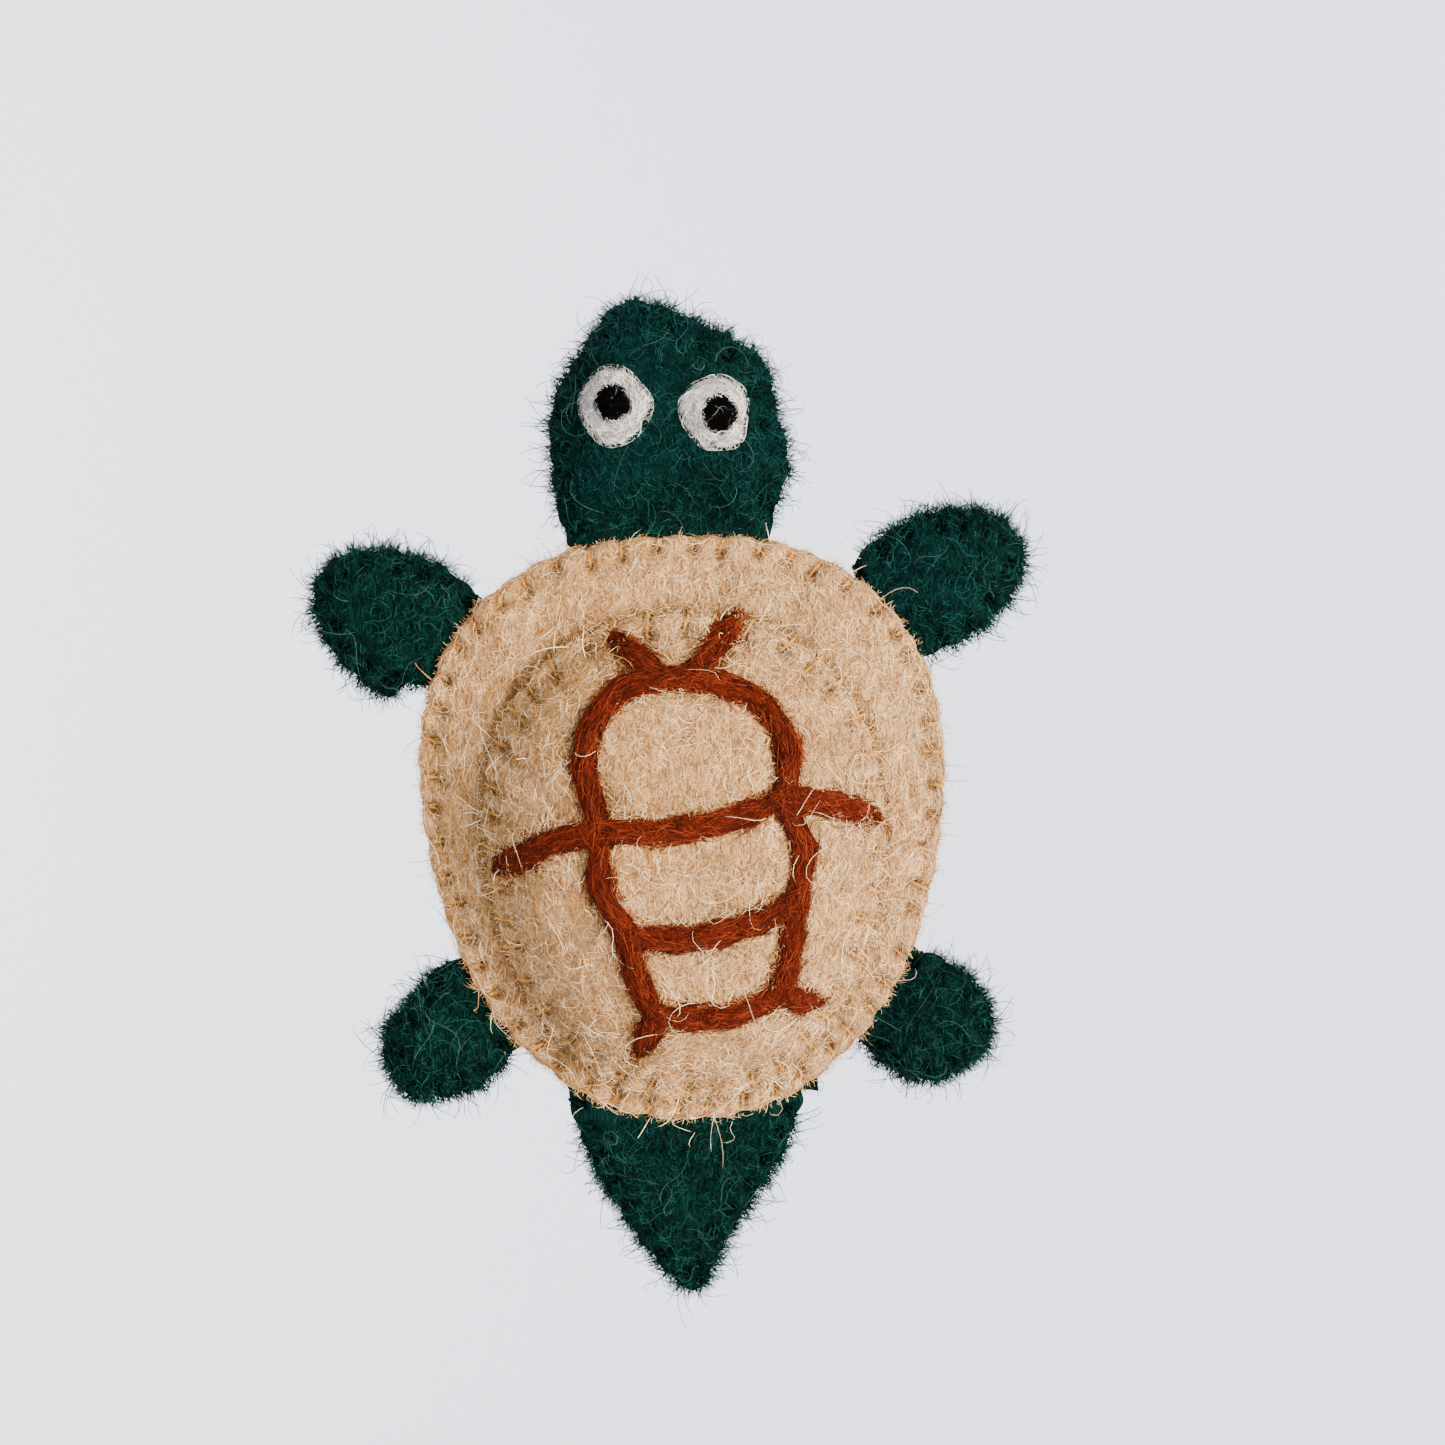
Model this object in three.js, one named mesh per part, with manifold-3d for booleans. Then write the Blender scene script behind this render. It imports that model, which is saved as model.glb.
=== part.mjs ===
// A turtle finger puppet, hand-sewn from wool felt and lightly stuffed.
//
// The puppet is upright, as it sits on a finger: +Z is up towards the head, the domed shell faces -Y,
// and the pocket for the finger is on the back, towards +Y. The origin is the middle of the pocket's mouth.
// Lengths are millimetres. Outlines are drawn in the plane of the shell's seam, with their zero at the
// shell's middle, and the whole puppet is then moved so that the pocket's mouth comes to the origin.

import * as THREE from 'three';
import Module from 'manifold-3d';

const wasm = await Module();
wasm.setup();

// Driving dimensions.
const FELT = 1.4;            // thickness of one layer of felt
const AIR = 0.3;             // air between neighbouring pieces
const THREAD_RADIUS = 0.3;   // sewing thread, as a plain cord along each seam
const SEAM_MARGIN = 0.95;    // the flat sewn margin starts at this share of the way to the edge
const MOUTH_BELOW_MIDDLE = 26;
const SEAM_BEFORE_MOUTH = 9;

const SHELL = { halfWidth: 24.7, halfHeight: 28.2, power: 2.25, egg: 0.145, middle: -0.2, front: 4, back: 3 };
const DOME = { halfWidth: 18.8, halfHeight: 23.4, power: 2.2, egg: 0.1, middle: -2.6, rise: 5.2, seat: 0.5 };
const HEAD_CROWN = 3.4;
const FLIPPER_CROWN = 1.0;
const TAIL_CROWN = 0.2;
const EYE = { white: 3.55, pupil: 1.75, thickness: 0.9, pupilThickness: 0.6 };
const ROVING = { width: 2.5, thickness: 1.1 };
const POCKET = { height: 36, halfWidth: 12, fingerHalfWidth: 8.8, fingerDepth: 12.6, power: 2.4, backLimit: 17 };

const COLOUR = { green: 0x084b3c, tan: 0xcdaa7d, ochre: 0xaf823c, brown: 0x82371a, white: 0xcdc8c3, black: 0x141212 };
const wool = Object.fromEntries(Object.entries(COLOUR).map(([name, color]) => [
  name, new THREE.MeshStandardMaterial({ color, roughness: 0.95, metalness: 0 })]));

// The free edges of the sewn-on limbs, anticlockwise from the front, from one end of the sewn root to the other.
const HEAD_EDGE = [
  [9.3, 29.5], [10.9, 34.5], [10.2, 39.0], [9.3, 43.6], [6.3, 46.1], [1.6, 48.5],
  [-2.2, 50.0], [-5.0, 49.5], [-7.8, 46.0], [-9.9, 43.0], [-11.3, 39.4], [-11.2, 34.0], [-10.3, 29.5]];
const TAIL_EDGE = [
  [-12.3, -26.2], [-10.9, -30.3], [-7.5, -37.4], [-4.4, -42.0], [-2.2, -44.6],
  [-0.6, -45.6], [0.6, -44.6], [2.3, -41.1], [5.6, -36.2], [9.0, -31.0], [10.6, -27.1]];
const FLIPPER_EDGES = {
  front_left_flipper: [
    [-20.6, 24.7], [-22.6, 26.1], [-27.3, 27.4], [-32.1, 26.9], [-34.3, 24.0],
    [-33.4, 19.0], [-30.8, 15.6], [-27.8, 13.3], [-25.4, 14.5]],
  front_right_flipper: [
    [25.2, 15.9], [27.8, 17.2], [31.4, 20.4], [33.2, 24.0], [31.6, 28.0], [27.2, 29.5], [22.5, 28.6], [18.6, 26.6]],
  rear_left_flipper: [
    [-24.3, -12.6], [-26.3, -15.2], [-29.1, -18.2], [-29.5, -22.0], [-27.4, -25.2],
    [-23.6, -25.4], [-20.3, -24.4], [-18.3, -22.8]],
  rear_right_flipper: [
    [16.9, -22.6], [19.0, -24.4], [22.7, -25.5], [26.4, -24.3], [28.8, -21.5], [28.7, -18.4],
    [26.6, -15.4], [24.4, -13.6]],
};
const EYES = {
  left: { white: [-5.1, 40.3], pupil: [-5.2, 40.5] },
  right: { white: [4.3, 39.3], pupil: [4.7, 39.2] },
};
// Strands of roving felted onto the dome: a ring with two feelers, two arms, two sides, three bars and two feet.
const STRANDS = [
  [[-6.4, 18.4], [-4.4, 17.4], [-1.6, 15.2]],
  [[5.6, 19.4], [3.4, 17.4], [0.8, 15.2]],
  [[-7.6, 1.8], [-9.0, 7.2], [-8.2, 10.9], [-5.7, 13.9], [-1.8, 15.0], [3.2, 14.6], [6.9, 12.9], [9.3, 9.7], [9.8, 6.5],
    [8.9, 3.4]],
  [[-17.2, -2.6], [-11.8, 0.5], [-7.4, 1.4]],
  [[-7.4, 1.4], [-1.0, 1.4], [5.3, 2.5], [9.2, 4.0]],
  [[9.2, 4.0], [14.2, 2.7], [17.4, 1.0]],
  [[-7.4, 1.4], [-8.0, -1.6], [-7.5, -4.8], [-5.8, -8.2], [-5.0, -12.0], [-3.4, -16.0]],
  [[9.0, 3.6], [10.9, -1.0], [10.1, -5.8], [9.3, -11.0], [8.2, -14.8]],
  [[-5.6, -8.6], [-0.1, -8.8], [6.2, -7.5], [10.1, -5.6]],
  [[-3.4, -16.0], [2.2, -16.6], [6.7, -15.5], [8.4, -14.4]],
  [[-3.2, -16.2], [-4.8, -19.8]],
  [[8.0, -14.8], [12.0, -16.2]],
];

// Puts a piece into the scene graph under its own name.
function piece(name, geometry, material) {
  const mesh = new THREE.Mesh(geometry, material);
  mesh.name = name;
  return mesh;
}

// A geometry from flat lists of points and triangles.
function geometryOf(points, triangles) {
  const geometry = new THREE.BufferGeometry();
  geometry.setAttribute('position', new THREE.Float32BufferAttribute(points.flat(), 3));
  geometry.setIndex(triangles.flat());
  geometry.computeVertexNormals();
  return geometry;
}

// An egg-shaped superellipse, wider towards the top, as points [x, z] anticlockwise from the right.
function eggOutline({ halfWidth, halfHeight, power, egg, middle }, count) {
  return Array.from({ length: count }, (_, i) => {
    const angle = (2 * Math.PI * i) / count;
    const across = Math.sign(Math.cos(angle)) * Math.abs(Math.cos(angle)) ** (2 / power);
    const up = Math.sign(Math.sin(angle)) * Math.abs(Math.sin(angle)) ** (2 / power);
    return [halfWidth * (1 + egg * up) * across, middle + halfHeight * up];
  });
}

// A round outline about a middle point.
function roundOutline([x, z], radius, count) {
  return Array.from({ length: count }, (_, i) => {
    const angle = (2 * Math.PI * i) / count;
    return [x + radius * Math.cos(angle), z + radius * Math.sin(angle)];
  });
}

// A smooth line through [x, z] points, as count evenly spaced points.
function smoothLine(points, count) {
  const curve = new THREE.CatmullRomCurve3(points.map(([x, z]) => new THREE.Vector3(x, 0, z)), false, 'centripetal');
  return curve.getSpacedPoints(count - 1).map((p) => [p.x, p.z]);
}

// A limb's outline: its smooth free edge, closed along the root by the points that root gives.
function limbOutline(edge, count, rootCount, root = straightRoot) {
  const free = smoothLine(edge, count);
  return free.concat(root(free[count - 1], free[0], rootCount));
}

function straightRoot(from, to, count) {
  return Array.from({ length: count }, (_, i) => {
    const share = (i + 1) / (count + 1);
    return [from[0] + share * (to[0] - from[0]), from[1] + share * (to[1] - from[1])];
  });
}

// The tail's root follows the bottom of the shell, 1.5 mm below it, as a shallow parabola.
function tailRoot(from, to, count) {
  return straightRoot(from, to, count).map(([x]) => [x, -29.9 + x * x / 40]);
}

function middleOf(outline) {
  const sum = outline.reduce(([x, z], point) => [x + point[0], z + point[1]], [0, 0]);
  return [sum[0] / outline.length, sum[1] / outline.length];
}

// How far a point is from the middle of an outline towards its edge: 0 at the middle, 1 on the edge.
function shareOfWay(outline, middle, x, z) {
  const [dx, dz] = [x - middle[0], z - middle[1]];
  const distance = Math.hypot(dx, dz);
  if (distance < 1e-9) return 0;
  let reach = 0;
  outline.forEach(([ax, az], i) => {
    const [bx, bz] = outline[(i + 1) % outline.length];
    const [px, pz, ex, ez] = [ax - middle[0], az - middle[1], bx - ax, bz - az];
    const cross = dx * ez - dz * ex;
    if (Math.abs(cross) < 1e-12) return;
    const along = (px * ez - pz * ex) / cross;
    const onEdge = (px * dz - pz * dx) / cross;
    if (along > 0 && onEdge >= -1e-9 && onEdge <= 1 + 1e-9) reach = Math.max(reach, along);
  });
  return reach > 0 ? 1 / reach : 1;
}

// The swell of a stuffed pocket: 1 at the middle, 0 over the flat sewn margin.
function swell(share, power = 3, fullness = 1) {
  return Math.max(0, 1 - Math.min(share / SEAM_MARGIN, 1) ** power) ** fullness;
}

// A closed body between two surfaces over an outline, in rings from the middle out to the edge.
// near and far give y from x, z and the share of the way out, with near in front.
function layer(outline, middle, rings, near, far) {
  const count = outline.length;
  const side = (surface) => [[middle[0], surface(middle[0], middle[1], 0), middle[1]]].concat(
    rings.flatMap((share) => outline.map(([x, z]) => {
      const [px, pz] = [middle[0] + share * (x - middle[0]), middle[1] + share * (z - middle[1])];
      return [px, surface(px, pz, share), pz];
    })));
  const points = side(near).concat(side(far));
  const farStart = points.length / 2;
  const triangles = [];
  for (let i = 0; i < count; i += 1) {
    const j = (i + 1) % count;
    triangles.push([0, 1 + i, 1 + j], [farStart, farStart + 1 + j, farStart + 1 + i]);
    for (let ring = 1; ring < rings.length; ring += 1) {
      const [inner, outer] = [1 + (ring - 1) * count, 1 + ring * count];
      triangles.push([inner + i, outer + i, outer + j], [inner + i, outer + j, inner + j]);
      triangles.push([farStart + inner + i, farStart + outer + j, farStart + outer + i]);
      triangles.push([farStart + inner + i, farStart + inner + j, farStart + outer + j]);
    }
    const rim = 1 + (rings.length - 1) * count;
    triangles.push([rim + i, farStart + rim + i, farStart + rim + j], [rim + i, farStart + rim + j, rim + j]);
  }
  return geometryOf(points, triangles);
}

// The two felt layers and the stuffing of a sewn pocket whose seam lies in the plane y = 0.
function stuffedPair(outline, rings, frontCrown, backCrown, fillShare, power, fullness) {
  const middle = middleOf(outline);
  const rise = (crown, share) => AIR / 2 + crown * swell(share, power, fullness);
  const made = {
    front: layer(outline, middle, rings, (x, z, s) => -rise(frontCrown, s) - FELT, (x, z, s) => -rise(frontCrown, s)),
    back: layer(outline, middle, rings, (x, z, s) => rise(backCrown, s), (x, z, s) => rise(backCrown, s) + FELT),
  };
  if (fillShare > 0) {
    const smaller = outline.map(([x, z]) => [
      middle[0] + fillShare * (x - middle[0]), middle[1] + fillShare * (z - middle[1])]);
    made.filling = layer(smaller, middle, [0.5, 1],
      (x, z, s) => AIR - rise(frontCrown, s * fillShare), (x, z, s) => rise(backCrown, s * fillShare) - AIR);
  }
  return made;
}

// A square-sectioned cord along [x, y, z] points, closed into a ring or with flat ends.
function cord(points, radius, closed) {
  const count = points.length;
  const rings = points.flatMap(([x, y, z], i) => {
    const before = points[closed ? (i + count - 1) % count : Math.max(i - 1, 0)];
    const after = points[closed ? (i + 1) % count : Math.min(i + 1, count - 1)];
    const [tx, tz] = [after[0] - before[0], after[2] - before[2]];
    const length = Math.hypot(tx, tz);
    const [nx, nz] = [(radius * tz) / length, (-radius * tx) / length];
    return [[x + nx, y, z + nz], [x, y + radius, z], [x - nx, y, z - nz], [x, y - radius, z]];
  });
  const triangles = [];
  for (let i = 0; i < (closed ? count : count - 1); i += 1) {
    for (let k = 0; k < 4; k += 1) {
      const [a, b] = [4 * i + k, 4 * i + ((k + 1) % 4)];
      const [c, d] = [4 * ((i + 1) % count) + k, 4 * ((i + 1) % count) + ((k + 1) % 4)];
      triangles.push([a, b, d], [a, d, c]);
    }
  }
  if (!closed) {
    const end = 4 * (count - 1);
    triangles.push([0, 2, 1], [0, 3, 2], [end, end + 1, end + 2], [end, end + 2, end + 3]);
  }
  return geometryOf(rings, triangles);
}

// The shell: two egg-shaped layers around a filling, with the thread laid on the front near the edge.
const shellOutline = eggOutline(SHELL, 40);
const shellMiddle = [0, SHELL.middle];
const shellFront = (x, z) => -AIR / 2 - FELT
  - SHELL.front * swell(shareOfWay(shellOutline, shellMiddle, x, z));
const shellBack = (x, z) => AIR / 2 + FELT
  + SHELL.back * swell(shareOfWay(shellOutline, shellMiddle, x, z));

function seamRing(outline, middle, scale, surface) {
  return cord(outline.map(([x, z]) => {
    const [px, pz] = [middle[0] + scale * (x - middle[0]), middle[1] + scale * (z - middle[1])];
    return [px, surface(px, pz) - AIR - THREAD_RADIUS, pz];
  }), THREAD_RADIUS, true);
}

function shellPieces() {
  const { front, back, filling } = stuffedPair(
    shellOutline, [0.35, 0.62, 0.8, 0.9, SEAM_MARGIN, 1], SHELL.front, SHELL.back, 0.86, 3, 1);
  return [
    piece('shell_front', front, wool.tan),
    piece('shell_back', back, wool.tan),
    piece('shell_filling', filling, wool.white),
    piece('shell_seam_thread', seamRing(shellOutline, shellMiddle, 0.978, shellFront), wool.ochre),
  ];
}

// The dome: one more layer sewn onto the front of the shell over its own filling.
const domeOutline = eggOutline(DOME, 36);
const domeMiddle = [0, DOME.middle];
const domeSwell = (x, z) => swell(shareOfWay(domeOutline, domeMiddle, x, z), 3.2, 0.8);
const domeInside = (x, z) => shellFront(x, z) - DOME.seat - DOME.rise * domeSwell(x, z);
const domeFront = (x, z) => domeInside(x, z) - FELT;

function domePieces() {
  const smaller = domeOutline.map(([x, z]) => [0.88 * x, domeMiddle[1] + 0.88 * (z - domeMiddle[1])]);
  return [
    piece('dome_felt', layer(domeOutline, domeMiddle, [0.34, 0.6, 0.8, 0.9, SEAM_MARGIN, 1], domeFront, domeInside),
      wool.tan),
    piece('dome_filling', layer(smaller, domeMiddle, [0.4, 0.7, 0.9, 1],
      (x, z) => domeInside(x, z) + AIR, (x, z) => shellFront(x, z) - AIR), wool.white),
    piece('dome_seam_thread', seamRing(domeOutline, domeMiddle, 1.03, shellFront), wool.ochre),
  ];
}

// One strand of roving lying on the dome, with a low rounded section and short tapered ends.
function strand(points) {
  const length = points.slice(1).reduce((sum, p, i) => sum + Math.hypot(p[0] - points[i][0], p[1] - points[i][1]), 0);
  const line = smoothLine(points, Math.max(4, Math.round(length / 2.2) + 1));
  const section = [[0.5, 0], [-0.5, 0], [-0.36, 0.75], [0, 1], [0.36, 0.75]];
  const vertices = line.flatMap(([x, z], i) => {
    const [before, after] = [line[Math.max(i - 1, 0)], line[Math.min(i + 1, line.length - 1)]];
    const [tx, tz] = [after[0] - before[0], after[1] - before[1]];
    const width = (i === 0 || i === line.length - 1 ? 0.6 : 1) * ROVING.width / Math.hypot(tx, tz);
    return section.map(([across, up]) => {
      const [px, pz] = [x - across * width * tz, z + across * width * tx];
      return [px, domeFront(px, pz) - AIR - up * ROVING.thickness, pz];
    });
  });
  const sides = section.length;
  const triangles = [];
  for (let i = 0; i < line.length - 1; i += 1) {
    for (let k = 0; k < sides; k += 1) {
      const [a, b] = [sides * i + k, sides * i + ((k + 1) % sides)];
      triangles.push([a, b + sides, b], [a, a + sides, b + sides]);
    }
  }
  const end = sides * (line.length - 1);
  for (let k = 1; k < sides - 1; k += 1) {
    triangles.push([0, k, k + 1], [end, end + k + 1, end + k]);
  }
  return new wasm.Manifold(new wasm.Mesh({
    numProp: 3, vertProperties: new Float32Array(vertices.flat()), triVerts: new Uint32Array(triangles.flat()),
  }));
}

function rovingLines() {
  const joined = STRANDS.map(strand).reduce((whole, one) => whole.add(one)).getMesh();
  const geometry = new THREE.BufferGeometry();
  geometry.setAttribute('position', new THREE.Float32BufferAttribute(joined.vertProperties, 3));
  geometry.setIndex(Array.from(joined.triVerts));
  geometry.computeVertexNormals();
  return piece('roving_lines', geometry, wool.brown);
}

// The thread along a limb's free edge, on its front, from just above the root and back.
function limbThread(edge, count) {
  const start = Math.round(count * 0.1);
  const line = smoothLine(edge, count);
  const middle = middleOf(line);
  return cord(line.slice(start, count - start).map(([x, z]) => [
    middle[0] + 0.94 * (x - middle[0]), -AIR * 1.5 - FELT - THREAD_RADIUS * 2, middle[1] + 0.94 * (z - middle[1])]),
  THREAD_RADIUS, false);
}

// The head: a tall pentagon, well stuffed, with two needle-felted eyes.
function headPieces() {
  const outline = limbOutline(HEAD_EDGE, 26, 5);
  const middle = middleOf(outline);
  const { front, back, filling } = stuffedPair(
    outline, [0.4, 0.68, 0.86, SEAM_MARGIN, 1], HEAD_CROWN, HEAD_CROWN, 0.84, 3.2, 0.9);
  const headFront = (x, z) => -AIR / 2 - FELT - HEAD_CROWN * swell(shareOfWay(outline, middle, x, z), 3.2, 0.9);
  const disc = (centre, radius, count, bottom, thickness) => layer(
    roundOutline(centre, radius, count), centre, [0.6, 1],
    (x, z, s) => bottom(x, z) - thickness * (1 - 0.55 * s ** 2), (x, z) => bottom(x, z));
  const made = [
    piece('head_front', front, wool.green),
    piece('head_back', back, wool.green),
    piece('head_filling', filling, wool.white),
    piece('head_seam_thread', limbThread(HEAD_EDGE, 26), wool.green),
  ];
  const whiteSeat = (x, z) => headFront(x, z) - AIR;
  for (const [side, { white, pupil }] of Object.entries(EYES)) {
    const pupilSeat = (x, z) => whiteSeat(x, z) - EYE.thickness - AIR;
    made.push(
      piece(`eye_white_${side}`, disc(white, EYE.white, 16, whiteSeat, EYE.thickness), wool.white),
      piece(`pupil_${side}`, disc(pupil, EYE.pupil, 12, pupilSeat, EYE.pupilThickness), wool.black));
  }
  return made;
}

function flipperPieces(name, edge) {
  const outline = limbOutline(edge, 18, 2);
  const { front, back, filling } = stuffedPair(
    outline, [0.45, 0.8, SEAM_MARGIN, 1], FLIPPER_CROWN, FLIPPER_CROWN, 0.7, 3, 1);
  return [
    piece(`${name}_front`, front, wool.green),
    piece(`${name}_back`, back, wool.green),
    piece(`${name}_filling`, filling, wool.white),
    piece(`${name}_thread`, limbThread(edge, 18), wool.green),
  ];
}

function tailPieces() {
  const outline = limbOutline(TAIL_EDGE, 22, 6, tailRoot);
  const { front, back } = stuffedPair(outline, [0.5, 0.8, 1], TAIL_CROWN, TAIL_CROWN, 0, 3, 1);
  return [
    piece('tail_front', front, wool.green),
    piece('tail_back', back, wool.green),
    piece('tail_thread', limbThread(TAIL_EDGE, 22), wool.green),
  ];
}

// The pocket: one layer sewn flat to the back of the shell at the sides and top, arched over the finger.
// Each row, from the mouth up, runs from one sewn margin over the arch to the other.
function pocketRow(share, outside) {
  const z = -MOUTH_BELOW_MIDDLE + POCKET.height * share;
  const sewnWidth = POCKET.halfWidth * Math.sqrt(1 - (Math.max(0, share - 0.7) / 0.33) ** 2);
  const extra = outside ? FELT : 0;
  const halfWidth = POCKET.fingerHalfWidth * (1 - 0.55 * share ** 4) + extra;
  const depth = POCKET.fingerDepth * (1 - share ** 3) ** 0.6 + extra;
  const section = [[sewnWidth, extra]];
  const steps = 10;
  for (let i = 0; i <= steps; i += 1) {
    const angle = (Math.PI * i) / steps;
    const across = Math.sign(Math.cos(angle)) * Math.abs(Math.cos(angle)) ** (2 / POCKET.power);
    section.push([
      Math.min(halfWidth, sewnWidth - AIR) * across,
      Math.max(extra, depth * Math.abs(Math.sin(angle)) ** (2 / POCKET.power))]);
  }
  section.push([-sewnWidth, extra]);
  const limit = POCKET.backLimit - (outside ? 0 : FELT);
  return section.map(([x, height]) => [x, Math.min(shellBack(x, z) + AIR + height, limit), z]);
}

function pocketPieces() {
  const shares = [0, 0.125, 0.25, 0.375, 0.5, 0.625, 0.75, 0.85, 0.93, 1];
  const inside = shares.map((share) => pocketRow(share, false));
  const outside = shares.map((share) => pocketRow(share, true));
  const [rows, columns] = [shares.length, inside[0].length];
  const points = inside.flat().concat(outside.flat());
  const outer = rows * columns;
  const triangles = [];
  const quad = (a, b, c, d) => triangles.push([a, c, b], [a, d, c]);
  for (let row = 0; row < rows - 1; row += 1) {
    for (let column = 0; column < columns - 1; column += 1) {
      const at = row * columns + column;
      quad(outer + at, outer + at + columns, outer + at + columns + 1, outer + at + 1);
      quad(at, at + 1, at + columns + 1, at + columns);
    }
    const [right, left] = [row * columns, row * columns + columns - 1];
    quad(right, right + columns, outer + right + columns, outer + right);
    quad(left, outer + left, outer + left + columns, left + columns);
  }
  for (let column = 0; column < columns - 1; column += 1) {
    const top = (rows - 1) * columns + column;
    quad(column, outer + column, outer + column + 1, column + 1);
    quad(top, top + 1, outer + top + 1, outer + top);
  }
  const sewnLine = [];
  for (let i = 0; i <= 20; i += 1) {
    const angle = (Math.PI * i) / 20;
    const x = (POCKET.halfWidth - 0.8) * Math.sign(Math.cos(angle)) * Math.abs(Math.cos(angle)) ** 0.3;
    const z = POCKET.height * 0.975 * Math.sin(angle) ** 0.6 - MOUTH_BELOW_MIDDLE + 1;
    sewnLine.push([x, shellBack(x, z) + 2 * AIR + FELT + 2 * THREAD_RADIUS, z]);
  }
  return [
    piece('finger_pocket', geometryOf(points, triangles), wool.green),
    piece('pocket_thread', cord(sewnLine, THREAD_RADIUS, false), wool.green),
  ];
}

const turtle = new THREE.Group();
turtle.position.set(0, -SEAM_BEFORE_MOUTH, MOUTH_BELOW_MIDDLE);
turtle.add(...shellPieces(), ...domePieces(), rovingLines(), ...headPieces(), ...tailPieces(), ...pocketPieces());
for (const [name, edge] of Object.entries(FLIPPER_EDGES)) {
  turtle.add(...flipperPieces(name, edge));
}

export default turtle;
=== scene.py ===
"""Turtle finger puppet, hand-sewn from wool felt, lightly stuffed and worn on one finger.

Every size is in millimetres in the plane of the shell's seam, with zero at the shell's middle, +Z towards the
head and -Y towards the viewer of the domed front. Shape.to_object moves the points into the shared frame, in metres.
"""
import logging
import math
from collections.abc import Callable
from dataclasses import dataclass, field, replace
from enum import Enum
from functools import partial

import bpy
import numpy as np
from mathutils import Matrix, Vector


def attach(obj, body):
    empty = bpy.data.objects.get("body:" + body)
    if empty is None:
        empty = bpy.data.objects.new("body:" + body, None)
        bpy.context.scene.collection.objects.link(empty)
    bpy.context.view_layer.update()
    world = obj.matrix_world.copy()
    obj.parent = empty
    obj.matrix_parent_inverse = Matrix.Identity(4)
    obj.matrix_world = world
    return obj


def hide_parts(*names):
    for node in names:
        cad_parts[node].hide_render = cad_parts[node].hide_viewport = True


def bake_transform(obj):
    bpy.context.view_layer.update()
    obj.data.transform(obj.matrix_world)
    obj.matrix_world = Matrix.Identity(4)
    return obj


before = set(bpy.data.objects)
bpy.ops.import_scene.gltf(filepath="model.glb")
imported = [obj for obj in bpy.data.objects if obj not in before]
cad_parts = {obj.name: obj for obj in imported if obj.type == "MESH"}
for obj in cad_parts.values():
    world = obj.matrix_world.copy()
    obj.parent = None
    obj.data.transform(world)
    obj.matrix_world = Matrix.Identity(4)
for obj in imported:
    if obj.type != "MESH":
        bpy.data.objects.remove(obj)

Array = np.ndarray
Surface = Callable[[Array, Array], Array]
Settle = Callable[[Array, Array], Array]
Weight = Callable[[Array, Array], Array]
Face = Callable[[Array, Array, Array, Array], Array]

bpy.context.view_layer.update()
LOG = logging.getLogger("turtle")

MM = 0.001
MIDDLE = np.array([0.0, -9.0, 26.0])
FELT = 1.4
SEAM_GAP = 0.04
SEAM_MARGIN = 0.95
EDGE_ROUND = 1.3
EDGE_REACH = 4.0
LUMP_FADE = 2.5
DOME_FILL = 0.93
THREAD_SIDES = 6
BAKE_MAP = "OFBake"
NO_QUADS = np.zeros((0, 4), int)
NO_TRIANGLES = np.zeros((0, 3), int)


class Side(Enum):
    """Which way a layer of felt faces: the front towards -Y or the back towards +Y."""

    FRONT = -1
    BACK = 1


# ---- Meshes and outlines ----


@dataclass
class Shape:
    """A mesh in the making: points in millimetres, quads and triangles, and what the material reads off them."""

    points: Array
    quads: Array = field(default_factory=lambda: NO_QUADS)
    triangles: Array = field(default_factory=lambda: NO_TRIANGLES)
    tint: Array | None = None
    corner_places: Array | None = None

    def normals(self) -> Array:
        """Returns each point's outward normal, as the area-weighted mean over its faces."""
        split = np.concatenate([self.quads[:, [0, 1, 2]], self.quads[:, [0, 2, 3]], self.triangles])
        a, b, c = (self.points[split[:, k]] for k in range(3))
        face = np.cross(b - a, c - a)
        total = np.zeros_like(self.points)
        for k in range(3):
            np.add.at(total, split[:, k], face)
        return unit(total)

    def to_object(self, name: str, material: bpy.types.Material) -> bpy.types.Object:
        """Makes the Blender object, smooth shaded, with its place in its mesh.

        Args:
            name: The piece's name.
            material: What it is made of.

        Returns:
            The object, linked to the scene.
        """
        mesh = bpy.data.meshes.new(name)
        loops = np.concatenate([self.quads.ravel(), self.triangles.ravel()]).astype(np.int32)
        quad_count, triangle_count = len(self.quads), len(self.triangles)
        starts = np.concatenate([np.arange(quad_count) * 4, quad_count * 4 + np.arange(triangle_count) * 3])
        mesh.vertices.add(len(self.points))
        mesh.vertices.foreach_set("co", ((self.points + MIDDLE) * MM).ravel())
        mesh.loops.add(len(loops))
        mesh.loops.foreach_set("vertex_index", loops)
        mesh.polygons.add(quad_count + triangle_count)
        mesh.polygons.foreach_set("loop_start", starts.astype(np.int32))
        mesh.update(calc_edges=True)
        mesh.polygons.foreach_set("use_smooth", np.ones(quad_count + triangle_count, bool))
        if self.tint is not None:
            mesh.attributes.new("tint", "FLOAT", "POINT").data.foreach_set("value", self.tint.astype(np.float32))
        if self.corner_places is not None:
            mesh.uv_layers.new(name=BAKE_MAP).data.foreach_set("uv", self.corner_places.ravel())
        mesh.materials.append(material)
        piece = bpy.data.objects.new(name, mesh)
        bpy.context.scene.collection.objects.link(piece)
        return piece


def unit(vectors: Array) -> Array:
    """Returns the vectors at length one."""
    return vectors / np.maximum(np.linalg.norm(vectors, axis=-1, keepdims=True), 1e-12)


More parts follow.
